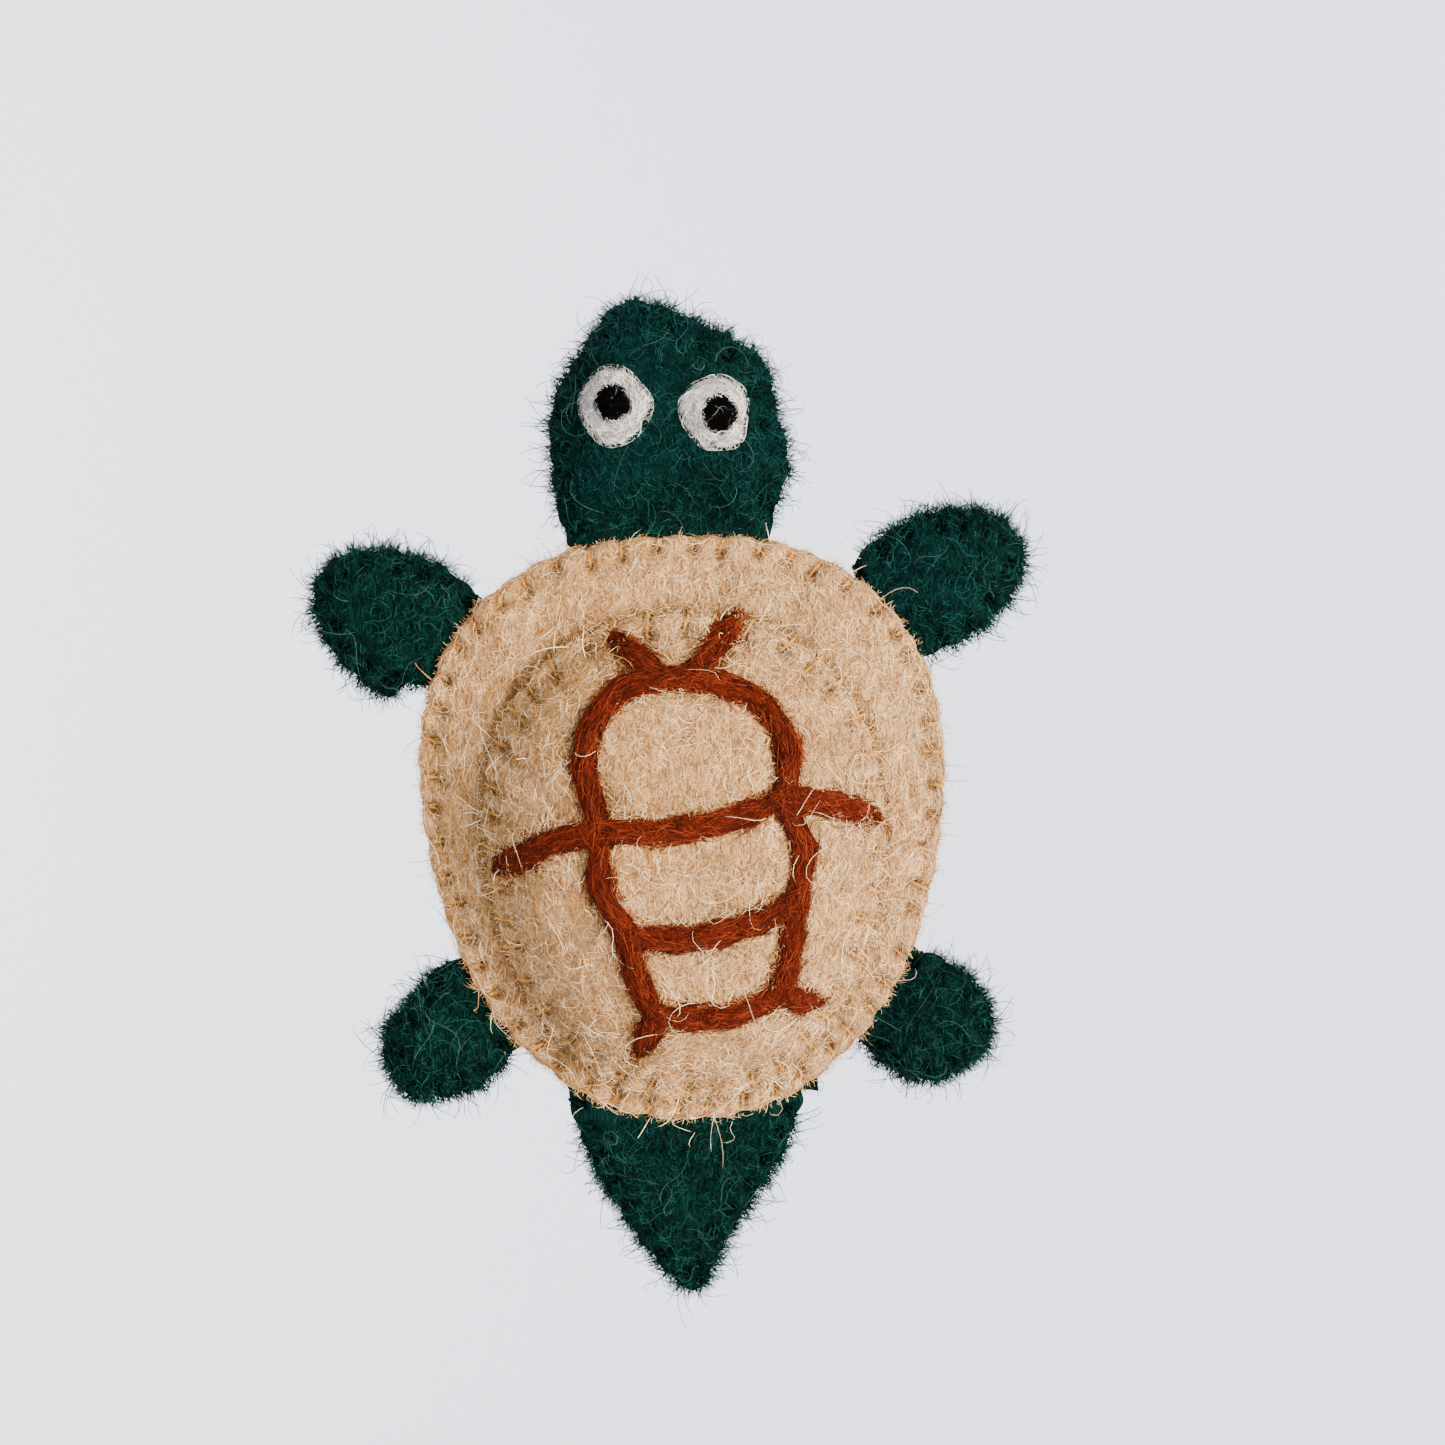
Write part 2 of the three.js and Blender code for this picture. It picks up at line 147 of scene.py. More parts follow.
def joined(shapes: list[Shape]) -> Shape:
    """Puts several shapes into one, each still a body of its own.

    Args:
        shapes: What to join.

    Returns:
        One shape.
    """
    offsets = np.cumsum([0] + [len(shape.points) for shape in shapes[:-1]])
    return Shape(
        np.concatenate([shape.points for shape in shapes]),
        np.concatenate([shape.quads + offset for shape, offset in zip(shapes, offsets)]),
        np.concatenate([shape.triangles + offset for shape, offset in zip(shapes, offsets)]),
    )


def ring_quads(rings: int, sides: int) -> Array:
    """Returns the quads of a closed tube of rings, numbered ring by ring, as a, b, next b, next a."""
    k, j = np.meshgrid(np.arange(rings - 1), np.arange(sides), indexing="ij")
    a, b = k * sides + j, k * sides + (j + 1) % sides
    return np.stack([a, b, b + sides, a + sides], -1).reshape(-1, 4)


def fan(hub: int, first: int, sides: int) -> Array:
    """Returns the triangles that close a ring, whose points are numbered from first, onto the point hub."""
    j = np.arange(sides)
    return np.stack([np.full(sides, hub), first + j, first + (j + 1) % sides], 1)


def repeated(block: Array, quads: Array, triangles: Array) -> Shape:
    """Makes one shape of many pieces alike.

    Args:
        block: Their points, as piece, point, coordinate.
        quads: One piece's quads.
        triangles: One piece's triangles.

    Returns:
        The shape.
    """
    offsets = (np.arange(len(block)) * block.shape[1])[:, None, None]
    return Shape(block.reshape(-1, 3), (quads + offsets).reshape(-1, 4), (triangles + offsets).reshape(-1, 3))


def circles(first: Array, second: Array, sides: int) -> Array:
    """Returns unit circles of that many sides, each on a first and a second axis."""
    turn = np.arange(sides) / sides * math.tau
    return first[:, :, None] * np.cos(turn)[:, None] + second[:, :, None] * np.sin(turn)[:, None]


def waves(points: Array, length: float, seed: int) -> Array:
    """Smooth irregular lumps: the mean of a dozen plane waves in random directions, from about -1 to 1.

    Args:
        points: Places, of any dimension, in millimetres.
        length: The lumps' typical width in millimetres.
        seed: Which lumps.

    Returns:
        One value for each point.
    """
    rng = np.random.default_rng(seed)
    directions = unit(rng.normal(size=(12, points.shape[-1]))) * rng.uniform(0.6, 1.5, (12, 1)) * math.tau / length
    phases = rng.uniform(0, math.tau, 12)
    return np.sin(points @ directions.T + phases).mean(-1) * 2.4


def lumps(x: Array, z: Array, length: float, seed: int) -> Array:
    """Returns the same lumps over places in the seam's plane."""
    return waves(np.stack([x, z], -1), length, seed)


def smooth_line(points: list[tuple[float, float]], count: int) -> Array:
    """A centripetal Catmull-Rom line through given points, resampled at even steps.

    Args:
        points: The points that the line passes through.
        count: How many points to return.

    Returns:
        An array of count points.
    """
    p = np.array(points, float)
    p = np.concatenate([[2 * p[0] - p[1]], p, [2 * p[-1] - p[-2]]])
    knots = np.concatenate([[0], np.cumsum(np.linalg.norm(np.diff(p, axis=0), axis=1) ** 0.5)])
    pieces = []
    for i in range(1, len(p) - 2):
        t = np.linspace(knots[i], knots[i + 1], 24, endpoint=False)[:, None]
        k = knots[i - 1 : i + 3]
        a = [(k[j + 1] - t) / (k[j + 1] - k[j]) * p[i - 1 + j] + (t - k[j]) / (k[j + 1] - k[j]) * p[i + j]
             for j in range(3)]
        b = [(k[j + 2] - t) / (k[j + 2] - k[j]) * a[j] + (t - k[j]) / (k[j + 2] - k[j]) * a[j + 1] for j in range(2)]
        pieces.append((k[2] - t) / (k[2] - k[1]) * b[0] + (t - k[1]) / (k[2] - k[1]) * b[1])
    return even_steps(np.concatenate(pieces + [p[-2:-1]]), count)


def even_steps(line: Array, count: int) -> Array:
    """Returns count points at even steps along an open line."""
    length = np.concatenate([[0], np.cumsum(np.linalg.norm(np.diff(line, axis=0), axis=1))])
    at = np.linspace(0, length[-1], count)
    return np.stack([np.interp(at, length, line[:, k]) for k in range(line.shape[1])], 1)


@dataclass(frozen=True)
class Outline:
    """A cut edge: points in order anticlockwise from the front, at even steps, star-shaped about a middle."""

    points: Array
    middle: Array

    @staticmethod
    def egg(half_width: float, half_height: float, power: float, egg: float, middle: float, count: int) -> "Outline":
        """An egg-shaped superellipse: the width grows by the share egg towards the top.

        Args:
            half_width: Half the width at the middle.
            half_height: Half the height.
            power: 2 for an ellipse, more for squarer shoulders.
            egg: How much wider the top is, as a share.
            middle: The height of its middle.
            count: How many points.

        Returns:
            The outline.
        """
        angle = np.linspace(0, math.tau, 2049)
        across = np.sign(np.cos(angle)) * np.abs(np.cos(angle)) ** (2 / power)
        up = np.sign(np.sin(angle)) * np.abs(np.sin(angle)) ** (2 / power)
        line = np.stack([half_width * (1 + egg * up) * across, middle + half_height * up], 1)
        return Outline(even_steps(line, count + 1)[:-1], np.array([0.0, middle]))

    @staticmethod
    def disc(centre: tuple[float, float], radius: float, wobble: float, seed: int, count: int) -> "Outline":
        """A hand-made disc: an oval a little taller than wide, whose radius wanders by wobble."""
        angle = np.linspace(0, math.tau, count, endpoint=False)
        ring = np.stack([np.cos(angle), 1.08 * np.sin(angle)], 1)
        return Outline(np.array(centre) + ring * (radius + wobble * waves(ring, 1.6, seed))[:, None], np.array(centre))

    @staticmethod
    def limb(edge: list[tuple[float, float]], tuck: float, count: int) -> "Outline":
        """A limb's outline: its free edge, and a root tucked in behind the hinge line by tuck.

        Args:
            edge: The free edge from one end of the root to the other.
            tuck: How far the root goes on past the hinge line.
            count: How many points.

        Returns:
            The outline.
        """
        free = smooth_line(edge, 400)
        along = unit(free[0] - free[-1])
        inward = np.array([along[1], -along[0]])
        inward = inward if inward @ (free.mean(0) - free[0]) < 0 else -inward
        ends = [free[-1] + inward * tuck + along * 0.9, free[0] + inward * tuck - along * 0.9]
        line = np.concatenate([free, smooth_root(free[-1], ends[0], ends[1], free[0])])
        return Outline(even_steps(line, count + 1)[:-1], free.mean(0))

    def share(self, x: Array, z: Array) -> Array:
        """How far each place is from the middle towards the edge: 0 at the middle, 1 on the edge.

        Args:
            x: Places across.
            z: Places up.

        Returns:
            The distance from the middle over the edge's distance in the same direction.
        """
        from_middle = self.points - self.middle
        angles = np.arctan2(from_middle[:, 1], from_middle[:, 0])
        order = np.argsort(angles)
        reach = np.linalg.norm(from_middle, axis=1)[order]
        dx, dz = x - self.middle[0], z - self.middle[1]
        return np.hypot(dx, dz) / np.interp(np.arctan2(dz, dx), angles[order], reach, period=math.tau)

    def inside(self, x: Array, z: Array) -> tuple[Array, Array]:
        """Measures how places lie within the outline, along the ray from its middle.

        Args:
            x: Places across.
            z: Places up.

        Returns:
            Their share of the way out, at most 1, and their distance to the edge.
        """
        share = np.minimum(self.share(x, z), 1)
        reach = np.linalg.norm(np.stack([x, z], -1) - self.middle, axis=-1) / np.maximum(share, 1e-6)
        return share, (1 - share) * reach

    def held(self, x: Array, z: Array, most: float) -> tuple[Array, Array]:
        """Draws places in towards the middle, so that none is further out than the share most."""
        scale = np.minimum(most / np.maximum(self.share(x, z), 1e-6), 1)
        return self.middle[0] + (x - self.middle[0]) * scale, self.middle[1] + (z - self.middle[1]) * scale

    def inward(self) -> Array:
        """Returns the unit normal that points into the outline at each of its points."""
        along = unit(np.roll(self.points, -1, axis=0) - np.roll(self.points, 1, axis=0))
        return np.stack([-along[:, 1], along[:, 0]], 1)

    def area(self) -> float:
        """Returns the flat area that it encloses, in square metres."""
        x, z = self.points.T
        return float(abs(np.sum(x * np.roll(z, -1) - z * np.roll(x, -1))) / 2) * MM * MM

    def size(self) -> tuple[float, float]:
        """Returns the width and height of the rectangle it was cut from, in metres."""
        width, height = np.ptp(self.points, axis=0) * MM
        return float(width), float(height)


def smooth_root(start: Array, first: Array, second: Array, end: Array) -> Array:
    """Returns the root's three straight sides as a line of points, without its two ends."""
    return np.concatenate([np.linspace(start, first, 20)[1:], np.linspace(first, second, 40)[1:],
                           np.linspace(second, end, 20)[1:]])


# ---- Stitches ----


@dataclass(frozen=True)
class Stitches:
    """Whip stitches over an edge: where each goes over the edge, and where it bites into the front and the back."""

    edge: Array
    bite: Array
    back_bite: Array

    @staticmethod
    def along(outline: Outline, pitch: float, depth: float, seed: int,
              keep: Callable[[Array], Array] | None = None) -> "Stitches":
        """Spaces stitches along an outline by hand: even, but for a little wobble.

        Args:
            outline: The edge that is sewn.
            pitch: The distance between stitches.
            depth: How far in from the edge the needle goes through.
            seed: Which wobble.
            keep: Says which edge places are sewn. All are if it isn't given.

        Returns:
            The stitches.
        """
        rng = np.random.default_rng(seed)
        closed = np.concatenate([outline.points, outline.points[:1]])
        length = np.linalg.norm(np.diff(closed, axis=0), axis=1).sum()
        count = int(round(length / pitch))
        at = (np.arange(count) + rng.uniform(-0.16, 0.16, count)) / count * len(outline.points)
        low = at.astype(int) % len(outline.points)
        edge, inward = outline.points[low], outline.inward()[low]
        if keep is not None:
            kept = keep(edge)
            edge, inward = edge[kept], inward[kept]
        along = np.stack([inward[:, 1], -inward[:, 0]], 1)
        depths = depth * rng.uniform(0.8, 1.25, (len(edge), 1))
        slant = rng.uniform(0.1, 0.5, (len(edge), 1))
        return Stitches(edge + inward * 0.4, edge + inward * depths + along * slant,
                        edge + inward * depths - along * slant)

    def pinched(self, outline: Outline, pull: float) -> Outline:
        """Returns the outline as the thread pulls it in: a shallow scallop between each two stitches."""
        gap = np.linalg.norm(outline.points[:, None] - self.edge[None], axis=2).min(1)
        pulled = outline.inward() * (pull * np.exp(-((gap / 0.75) ** 2)))[:, None]
        return Outline(outline.points + pulled, outline.middle)

    def groove(self, x: Array, z: Array, side: Side) -> Array:
        """How deep the thread is pulled into the felt at each place, from 0 to about 1.

        The depth falls off as a bell curve with the distance from the line between the bite and the edge, and is
        greatest at the bite.

        Args:
            x: Places across.
            z: Places up.
            side: The layer that the thread is pulled into.

        Returns:
            The share of the full depth.
        """
        place = np.stack([x.ravel(), z.ravel()], 1)
        bites = self.bite if side is Side.FRONT else self.back_bite
        deepest = np.zeros(len(place))
        for edge, bite in zip(self.edge, bites):
            near = np.flatnonzero(np.abs(place - edge).max(1) < 5)
            run = bite - edge
            along = np.clip((place[near] - edge) @ run / (run @ run), 0, 1)
            gap = np.linalg.norm(place[near] - edge - along[:, None] * run, axis=1)
            hole = np.linalg.norm(place[near] - bite, axis=1)
            depth = 0.55 * np.exp(-((gap / 0.55) ** 2)) + 0.65 * np.exp(-((hole / 0.75) ** 2))
            deepest[near] = np.maximum(deepest[near], depth)
        return deepest.reshape(x.shape)

    def threads(self, front: Surface, back: Surface, radius: float) -> Shape:
        """The visible thread of each stitch, from the bite in the front over the edge to the bite in the back.

        Args:
            front: Gives y on the front at x, z.
            back: Gives y on the back at x, z.
            radius: Half the thread's thickness.

        Returns:
            One tube for each stitch.
        """
        over = self.edge + unit(self.edge - self.bite) * radius * 0.6
        crest = over, (front(*self.edge.T) + back(*self.edge.T)) / 2
        back_run = self.run(self.back_bite, back, radius)
        return sewn([*self.run(self.bite, front, -radius), crest, *back_run[::-1]], radius)

    def run(self, bite: Array, surface: Surface, radius: float) -> list[tuple[Array, Array]]:
        """The thread's way over one layer: its first step is sunk in behind the bite, and the others lie on the felt.

        Args:
            bite: Where it comes out of the layer.
            surface: Gives y on the layer at x, z.
            radius: Half its thickness, negative on the front.

        Returns:
            Its steps from the bite towards the edge.
        """
        steps = []
        for share in (-0.12, 0.15, 0.5, 0.85):
            place = bite + share * (self.edge - bite)
            steps.append((place, surface(*place.T) + radius * (-0.5 if share < 0 else 0.25)))
        return steps


def tubes(paths: Array, radii: Array, sides: int) -> Shape:
    """Round tubes along many paths at once, closed at both ends by a point.

    Each ring stands square to its path, on axes found by crossing the path's direction with a fixed side direction.

    Args:
        paths: Points, as tube, step, coordinate.
        radii: Each step's radius.
        sides: How many sides a ring has.

    Returns:
        The tubes as one shape.
    """
    count, steps, _ = paths.shape
    forward = unit(np.gradient(paths, axis=1))
    chord = unit(paths[:, -1] - paths[:, 0] + 1e-9)
    helper = unit(np.cross(chord, [0.31, 0.87, 0.39]))[:, None]
    first = unit(np.cross(forward, helper))
    ring = circles(first, np.cross(forward, first), sides)
    points = paths[:, :, None] + ring * radii[:, :, None, None]
    ends = np.stack([paths[:, 0] - forward[:, 0] * radii[:, :1] * 0.5,
                     paths[:, -1] + forward[:, -1] * radii[:, -1:] * 0.5], 1)
    size = steps * sides + 2
    block = np.concatenate([points.reshape(count, -1, 3), ends], 1)
    caps = np.concatenate([fan(size - 2, 0, sides)[:, ::-1], fan(size - 1, (steps - 1) * sides, sides)])
    return repeated(block, ring_quads(steps, sides), caps)


def sewn(steps: list[tuple[Array, Array]], radius: float) -> Shape:
    """Threads of one thickness.

    Args:
        steps: Each step of the way: every stitch's place in the seam's plane, and its y there.
        radius: Half the thread's thickness.

    Returns:
        One tube for each stitch.
    """
    paths = np.stack([np.stack([place[:, 0], y, place[:, 1]], 1) for place, y in steps], 1)
    return tubes(paths, np.full(paths.shape[:2], radius), THREAD_SIDES)


# ---- Felt layers and stuffing ----


def swell(share: Array, power: float = 3.0, fullness: float = 1.0) -> Array:
    """How much stuffing lifts a layer: 1 at the middle, 0 over the flat sewn margin."""
    return np.maximum(1 - np.minimum(share / SEAM_MARGIN, 1) ** power, 0) ** fullness


def rounded_edge(distance: Array) -> Array:
    """A felt layer's thickness near its cut edge, as a share: a quarter round that is full at EDGE_ROUND."""
    return np.sqrt(np.maximum(1 - (1 - np.minimum(distance / EDGE_ROUND, 1)) ** 2, 0))


def polar_layer(outline: Outline, outer: Face, inner: Face, side: Side, rings: int) -> Shape:
    """A closed sheet over an outline, on a grid of rays from the middle and rings out to the edge.

    Both surfaces give y from x, z, the share of the way out and the distance to the edge. They meet at the edge.

    Args:
        outline: The cut edge. Each of its points has one ray.
        outer: The visible surface.
        inner: The hidden surface.
        side: Which way the outer surface faces.
        rings: How many rings the outer surface has.

    Returns:
        The sheet.
    """
    reach = np.linalg.norm(outline.points - outline.middle, axis=1)
    out = np.sin(np.linspace(0, math.pi / 2, rings + 1))[1:]
    back = out[-3::-5]
    shares = np.concatenate([out, back])
    place = outline.middle + shares[:, None, None] * (outline.points - outline.middle)
    x, z = place[..., 0], place[..., 1]
    share = np.broadcast_to(shares[:, None], x.shape)
    distance = (1 - share) * reach
    y = np.concatenate([outer(x[:rings], z[:rings], share[:rings], distance[:rings]),
                        inner(x[rings:], z[rings:], share[rings:], distance[rings:])])
    count = len(outline.points)
    grid = np.stack([x, y, z], -1).reshape(-1, 3)
    middle = np.full((1, 1), outline.middle[0]), np.full((1, 1), outline.middle[1])
    zero, far = np.zeros((1, 1)), np.full((1, 1), reach.mean())
    poles = [[middle[0][0, 0], surface(*middle, zero, far)[0, 0], middle[1][0, 0]] for surface in (outer, inner)]
    rows = len(shares)
    size = rows * count
    caps = np.concatenate([fan(size, 0, count), fan(size + 1, size - count, count)[:, ::-1]])
    shape = Shape(np.concatenate([grid, poles]), ring_quads(rows, count)[:, ::-1], caps)
    if side is Side.BACK:
        shape.quads, shape.triangles = shape.quads[:, ::-1], shape.triangles[:, ::-1]
    return shape


@dataclass(frozen=True)
class Pouch:
    """Two felt layers sewn edge to edge around stuffing, with the seam in the plane y = 0.

    A layer's outer surface is half the seam gap, plus the felt's thickness rounded off at the edge, plus the
    crown times the swell, less the grooves of the stitches, plus a little lumpiness.
    """

    outline: Outline
    stitches: Stitches
    crowns: tuple[float, float]
    seed: int
    power: float = 3.0
    fullness: float = 1.0
    thin: Surface | None = None
    part: Surface | None = None
    pull: float = 0.42
    lump: float = 0.16

    def crown(self, side: Side) -> float:
        """Returns how far the stuffing lifts that side at its middle."""
        return self.crowns[0] if side is Side.FRONT else self.crowns[1]

    def height(self, x: Array, z: Array, side: Side, detail: bool = True,
               lies: tuple[Array, Array] | None = None) -> Array:
        """How far the outer surface is from the seam plane.

        Args:
            x: Places across.
            z: Places up.
            side: Which layer.
            detail: Whether grooves and lumps count.
            lies: What Outline.inside says of the places, where that is known.

        Returns:
            Heights in millimetres, always positive.
        """
        share, distance = lies or self.outline.inside(x, z)
        felt = FELT * rounded_edge(distance)
        if self.thin is not None:
            felt = felt * self.thin(x, z)
        total = SEAM_GAP + felt + self.crown(side) * swell(share, self.power, self.fullness)
        if self.part is not None:
            total = total + self.part(x, z) * np.exp(-((distance / EDGE_REACH) ** 2))
        if detail:
            total = total - self.pull * self.stitches.groove(x, z, side) * np.minimum(0.35 + distance, 1)
            fade = np.minimum(distance / LUMP_FADE, 1)
            total = total + self.lump * fade * lumps(x, z, 6.5, self.seed + side.value)
            total = total + 0.09 * fade * lumps(x, z, 1.9, self.seed + 7 + side.value)
        return total

    def layer(self, side: Side, rings: int) -> Shape:
        """Makes one felt layer.

        Args:
            side: Which one.
            rings: How many rings its grid has.

        Returns:
            A closed sheet.
        """

        def outer(x: Array, z: Array, share: Array, distance: Array) -> Array:
            """Returns the visible surface."""
            return side.value * self.height(x, z, side, True, (share, distance))

        def inner(x: Array, z: Array, share: Array, distance: Array) -> Array:
            """Returns the hidden surface: the seam gap and the stuffing's lift."""
            opening = self.part(x, z) * np.exp(-((distance / EDGE_REACH) ** 2)) if self.part is not None else 0
            return side.value * (SEAM_GAP + opening + self.crown(side) * swell(share, self.power, self.fullness))

        return polar_layer(self.outline, outer, inner, side, rings)

    def stuffing(self, size: float, rings: int) -> Shape:
        """The wool inside: a lumpy lens that fills the hollow to 0.3 mm of the felt.

        Args:
            size: Its outline, as a share of the pouch's.
            rings: How many rings it has.

        Returns:
            One closed lump.
        """
        smaller = Outline(self.outline.middle + size * (self.outline.points[::2] - self.outline.middle),
                          self.outline.middle)

        def face(side: Side, x: Array, z: Array, share: Array, distance: Array) -> Array:
            """Returns the lump's surface on one side."""
            lift = self.crown(side) * swell(share * size, self.power, self.fullness) - 0.3
            uneven = 0.12 * lumps(x, z, 4, self.seed + 31)
            return side.value * np.maximum(lift - 0.12 + uneven, 0.02) * rounded_edge(distance)

        return polar_layer(smaller, partial(face, Side.FRONT), partial(face, Side.BACK), Side.FRONT, rings)

    def settled(self, path: Array, over: Array, side: Side) -> Array:
        """Lays points of fibres onto a layer at those heights, and draws those past its edge back onto the rim."""
        x, z = self.outline.held(path[..., 0], path[..., 2], 0.992)
        return np.stack([x, side.value * (self.height(x, z, side) + over), z], -1)

    def thread(self, radius: float) -> Shape:
        """Returns the seam's whip stitches."""
        return self.stitches.threads(lambda x, z: -self.height(x, z, Side.FRONT),
                                     lambda x, z: self.height(x, z, Side.BACK), radius)


# ---- Loose fibres ----


@dataclass(frozen=True)
class Pile:
    """One kind of loose fibre on felt. Pairs are the lowest and highest value, in millimetres but for the tint's.

    The bend is how far it may turn as it runs, in radians. The standing share is how much of its lift is a straight
    rise to its tip, and not an arch.
    """

    count: int
    length: tuple[float, float]
    lift: tuple[float, float]
    width: tuple[float, float]
    bend: float
    standing: float
    steps: int = 4
    tint: tuple[float, float] = (0.0, 1.0)


def scatter(shape: Shape, count: int, rng: np.random.Generator, weight: Weight) -> tuple[Array, Array]:
    """Picks places on a shape's quads, evenly by area, with the surface's normal at each.

    Args:
        shape: What the fibres grow on.
        count: How many places.
        rng: Where the chances come from.
        weight: From the quads' middles and normals, how likely each is for its area.

    Returns:
        The places and their normals.
    """
    normals = shape.normals()
    a, b, c, d = (shape.points[shape.quads[:, k]] for k in range(4))
    area = np.linalg.norm(np.cross(c - a, d - b), axis=1)
    area = area * weight((a + b + c + d) / 4, unit(normals[shape.quads].mean(1)))
    pick = rng.choice(len(area), count, p=area / area.sum())
    u, v = rng.uniform(size=(2, count, 1))
    share = np.stack([(1 - u) * (1 - v), u * (1 - v), u * v, (1 - u) * v])
    corners = shape.quads[pick].T
    place = (share * shape.points[corners]).sum(0)
    return place, unit((share * normals[corners]).sum(0))


def fibres(roots: Array, normals: Array, pile: Pile, rng: np.random.Generator, grain: Array | None = None,
           curl: Array | float = 0.0, spread: float = 0.3, settle: Settle | None = None) -> Shape:
    """Loose fibres: thin three-sided tapered tubes that wander over the surface.

    A fibre's heading turns steadily as it runs on, by up to its bend in radians, and its height over the surface is
    its lift times an arch (4s(1 - s)) mixed with a straight rise (s) by the pile's standing share. Its bake map
    gives each fibre a square of its own.

    Args:
        roots: Where they start.
        normals: The surface's normals there.
        pile: What kind of fibre.
        rng: Where the chances come from.
        grain: The direction that they follow. They lie every way if it isn't given.
        curl: How much the grain turns for each millimetre, anticlockwise about the normal.
        spread: How far they stray from the grain, in radians.
        settle: Lays points at given heights onto the surface. The fibres run straight if it isn't given.

    Returns:
        The fibres, with their tint and bake map.
    """
    count, steps = len(roots), pile.steps
    across = unit(np.cross(normals, rng.normal(size=(count, 3)) if grain is None else grain))
    beside = np.cross(normals, across)
    length = rng.uniform(*pile.length, count) * rng.uniform(0.75, 1.1, count)
    lift = rng.uniform(*pile.lift, count)
    s = np.linspace(0, 1, steps + 1)
    turn = rng.normal(0, pile.bend, (count, 1)) * s
    turn = turn + rng.normal(0, 0.4 * pile.bend, (count, 1)) * np.sin(math.pi * s) ** 2
    if grain is not None:
        turn = turn + rng.normal(0, spread, (count, 1)) - math.pi / 2 + (curl * length)[:, None] * s
    leg = (length / steps)[:, None, None]
    heading = np.cos(turn)[..., None] * across[:, None] + np.sin(turn)[..., None] * beside[:, None]
    run = np.concatenate([np.zeros((count, 1, 3)), np.cumsum((heading[:, :-1] + heading[:, 1:]) / 2 * leg, 1)], 1)
    rise = pile.standing * s + (1 - pile.standing) * 4 * s * (1 - s)
    path = roots[:, None] + run * np.sqrt(np.maximum(1 - (lift / length) ** 2, 0.1))[:, None, None]
    over = rise * lift[:, None] - 0.06
    path = path + normals[:, None] * over[..., None] if settle is None else settle(path, over)
    radius = rng.uniform(*pile.width, count)[:, None] / 2 * (1 - 0.55 * s)
    forward = unit(np.gradient(path, axis=1))
    first = unit(np.cross(forward, normals[:, None] + 0.01))
    ring = circles(first, np.cross(forward, first), 3)
    body = path[:, :-1, None] + ring[:, :-1] * radius[:, :-1, None, None]
    points = np.concatenate([body.reshape(count, -1, 3), path[:, -1:]], 1)
    size = steps * 3 + 1
    quads = ring_quads(steps, 3)
    triangles = np.concatenate([[[0, 2, 1]], fan(size - 1, (steps - 1) * 3, 3)])
    grown = repeated(points, quads, triangles)
    grown.tint = np.repeat(rng.uniform(*pile.tint, count), size)
    grown.corner_places = fibre_places(count, quads, triangles, steps)
    return grown


def fibre_places(count: int, quads: Array, triangles: Array, steps: int) -> Array:
    """Lays each fibre out in its own square of the bake map, one side beside another.

    Args:
        count: How many fibres.
        quads: One fibre's quads.
        triangles: One fibre's triangles.
        steps: How many steps a fibre has.

    Returns:
        A place for each corner of each face, all quads first.
    """
    along = (np.arange(steps * 3 + 1) // 3 + 0.5) / (steps + 1)
    across_quads = (quads[:, :1] % 3 + np.array([0, 1, 1, 0])) / 3
    across_triangles = np.broadcast_to(np.array([0.1, 0.9, 0.5]), triangles.shape)
    one_quads = np.stack([across_quads, along[quads]], -1)
    one_triangles = np.stack([across_triangles, along[triangles]], -1)
    squares = math.ceil(math.sqrt(count))
    cell = np.stack(np.divmod(np.arange(count), squares), -1)[:, None, None]
    laid = [((cell + 0.08 + 0.84 * one[None]) / squares).reshape(-1, 2) for one in (one_quads, one_triangles)]
    return np.concatenate(laid).astype(np.float32)


def pile_of(shapes: list[Shape]) -> Shape:
    """Joins several kinds of fibre, their bake squares stacked in equal bands.

    Args:
        shapes: The kinds of fibre.

    Returns:
        One shape.
    """
    whole = joined(shapes)
    whole.tint = np.concatenate([shape.tint for shape in shapes])
    bands, corners = len(shapes), []
    for part in ("quads", "triangles"):
        for band, shape in enumerate(shapes):
            split = len(shape.quads) * 4
            places = shape.corner_places[:split] if part == "quads" else shape.corner_places[split:]
            corners.append(np.stack([places[:, 0], (places[:, 1] + band) / bands], 1))
    whole.corner_places = np.concatenate(corners)
    return whole


# ---- Finishes ----


def shade(code: str) -> tuple[float, float, float, float]:
    """Turns a colour written as six hex digits into Blender's linear numbers."""
    parts = [int(code[k : k + 2], 16) / 255 for k in (0, 2, 4)]
    red, green, blue = (p / 12.92 if p <= 0.04045 else ((p + 0.055) / 1.055) ** 2.4 for p in parts)
    return red, green, blue, 1.0


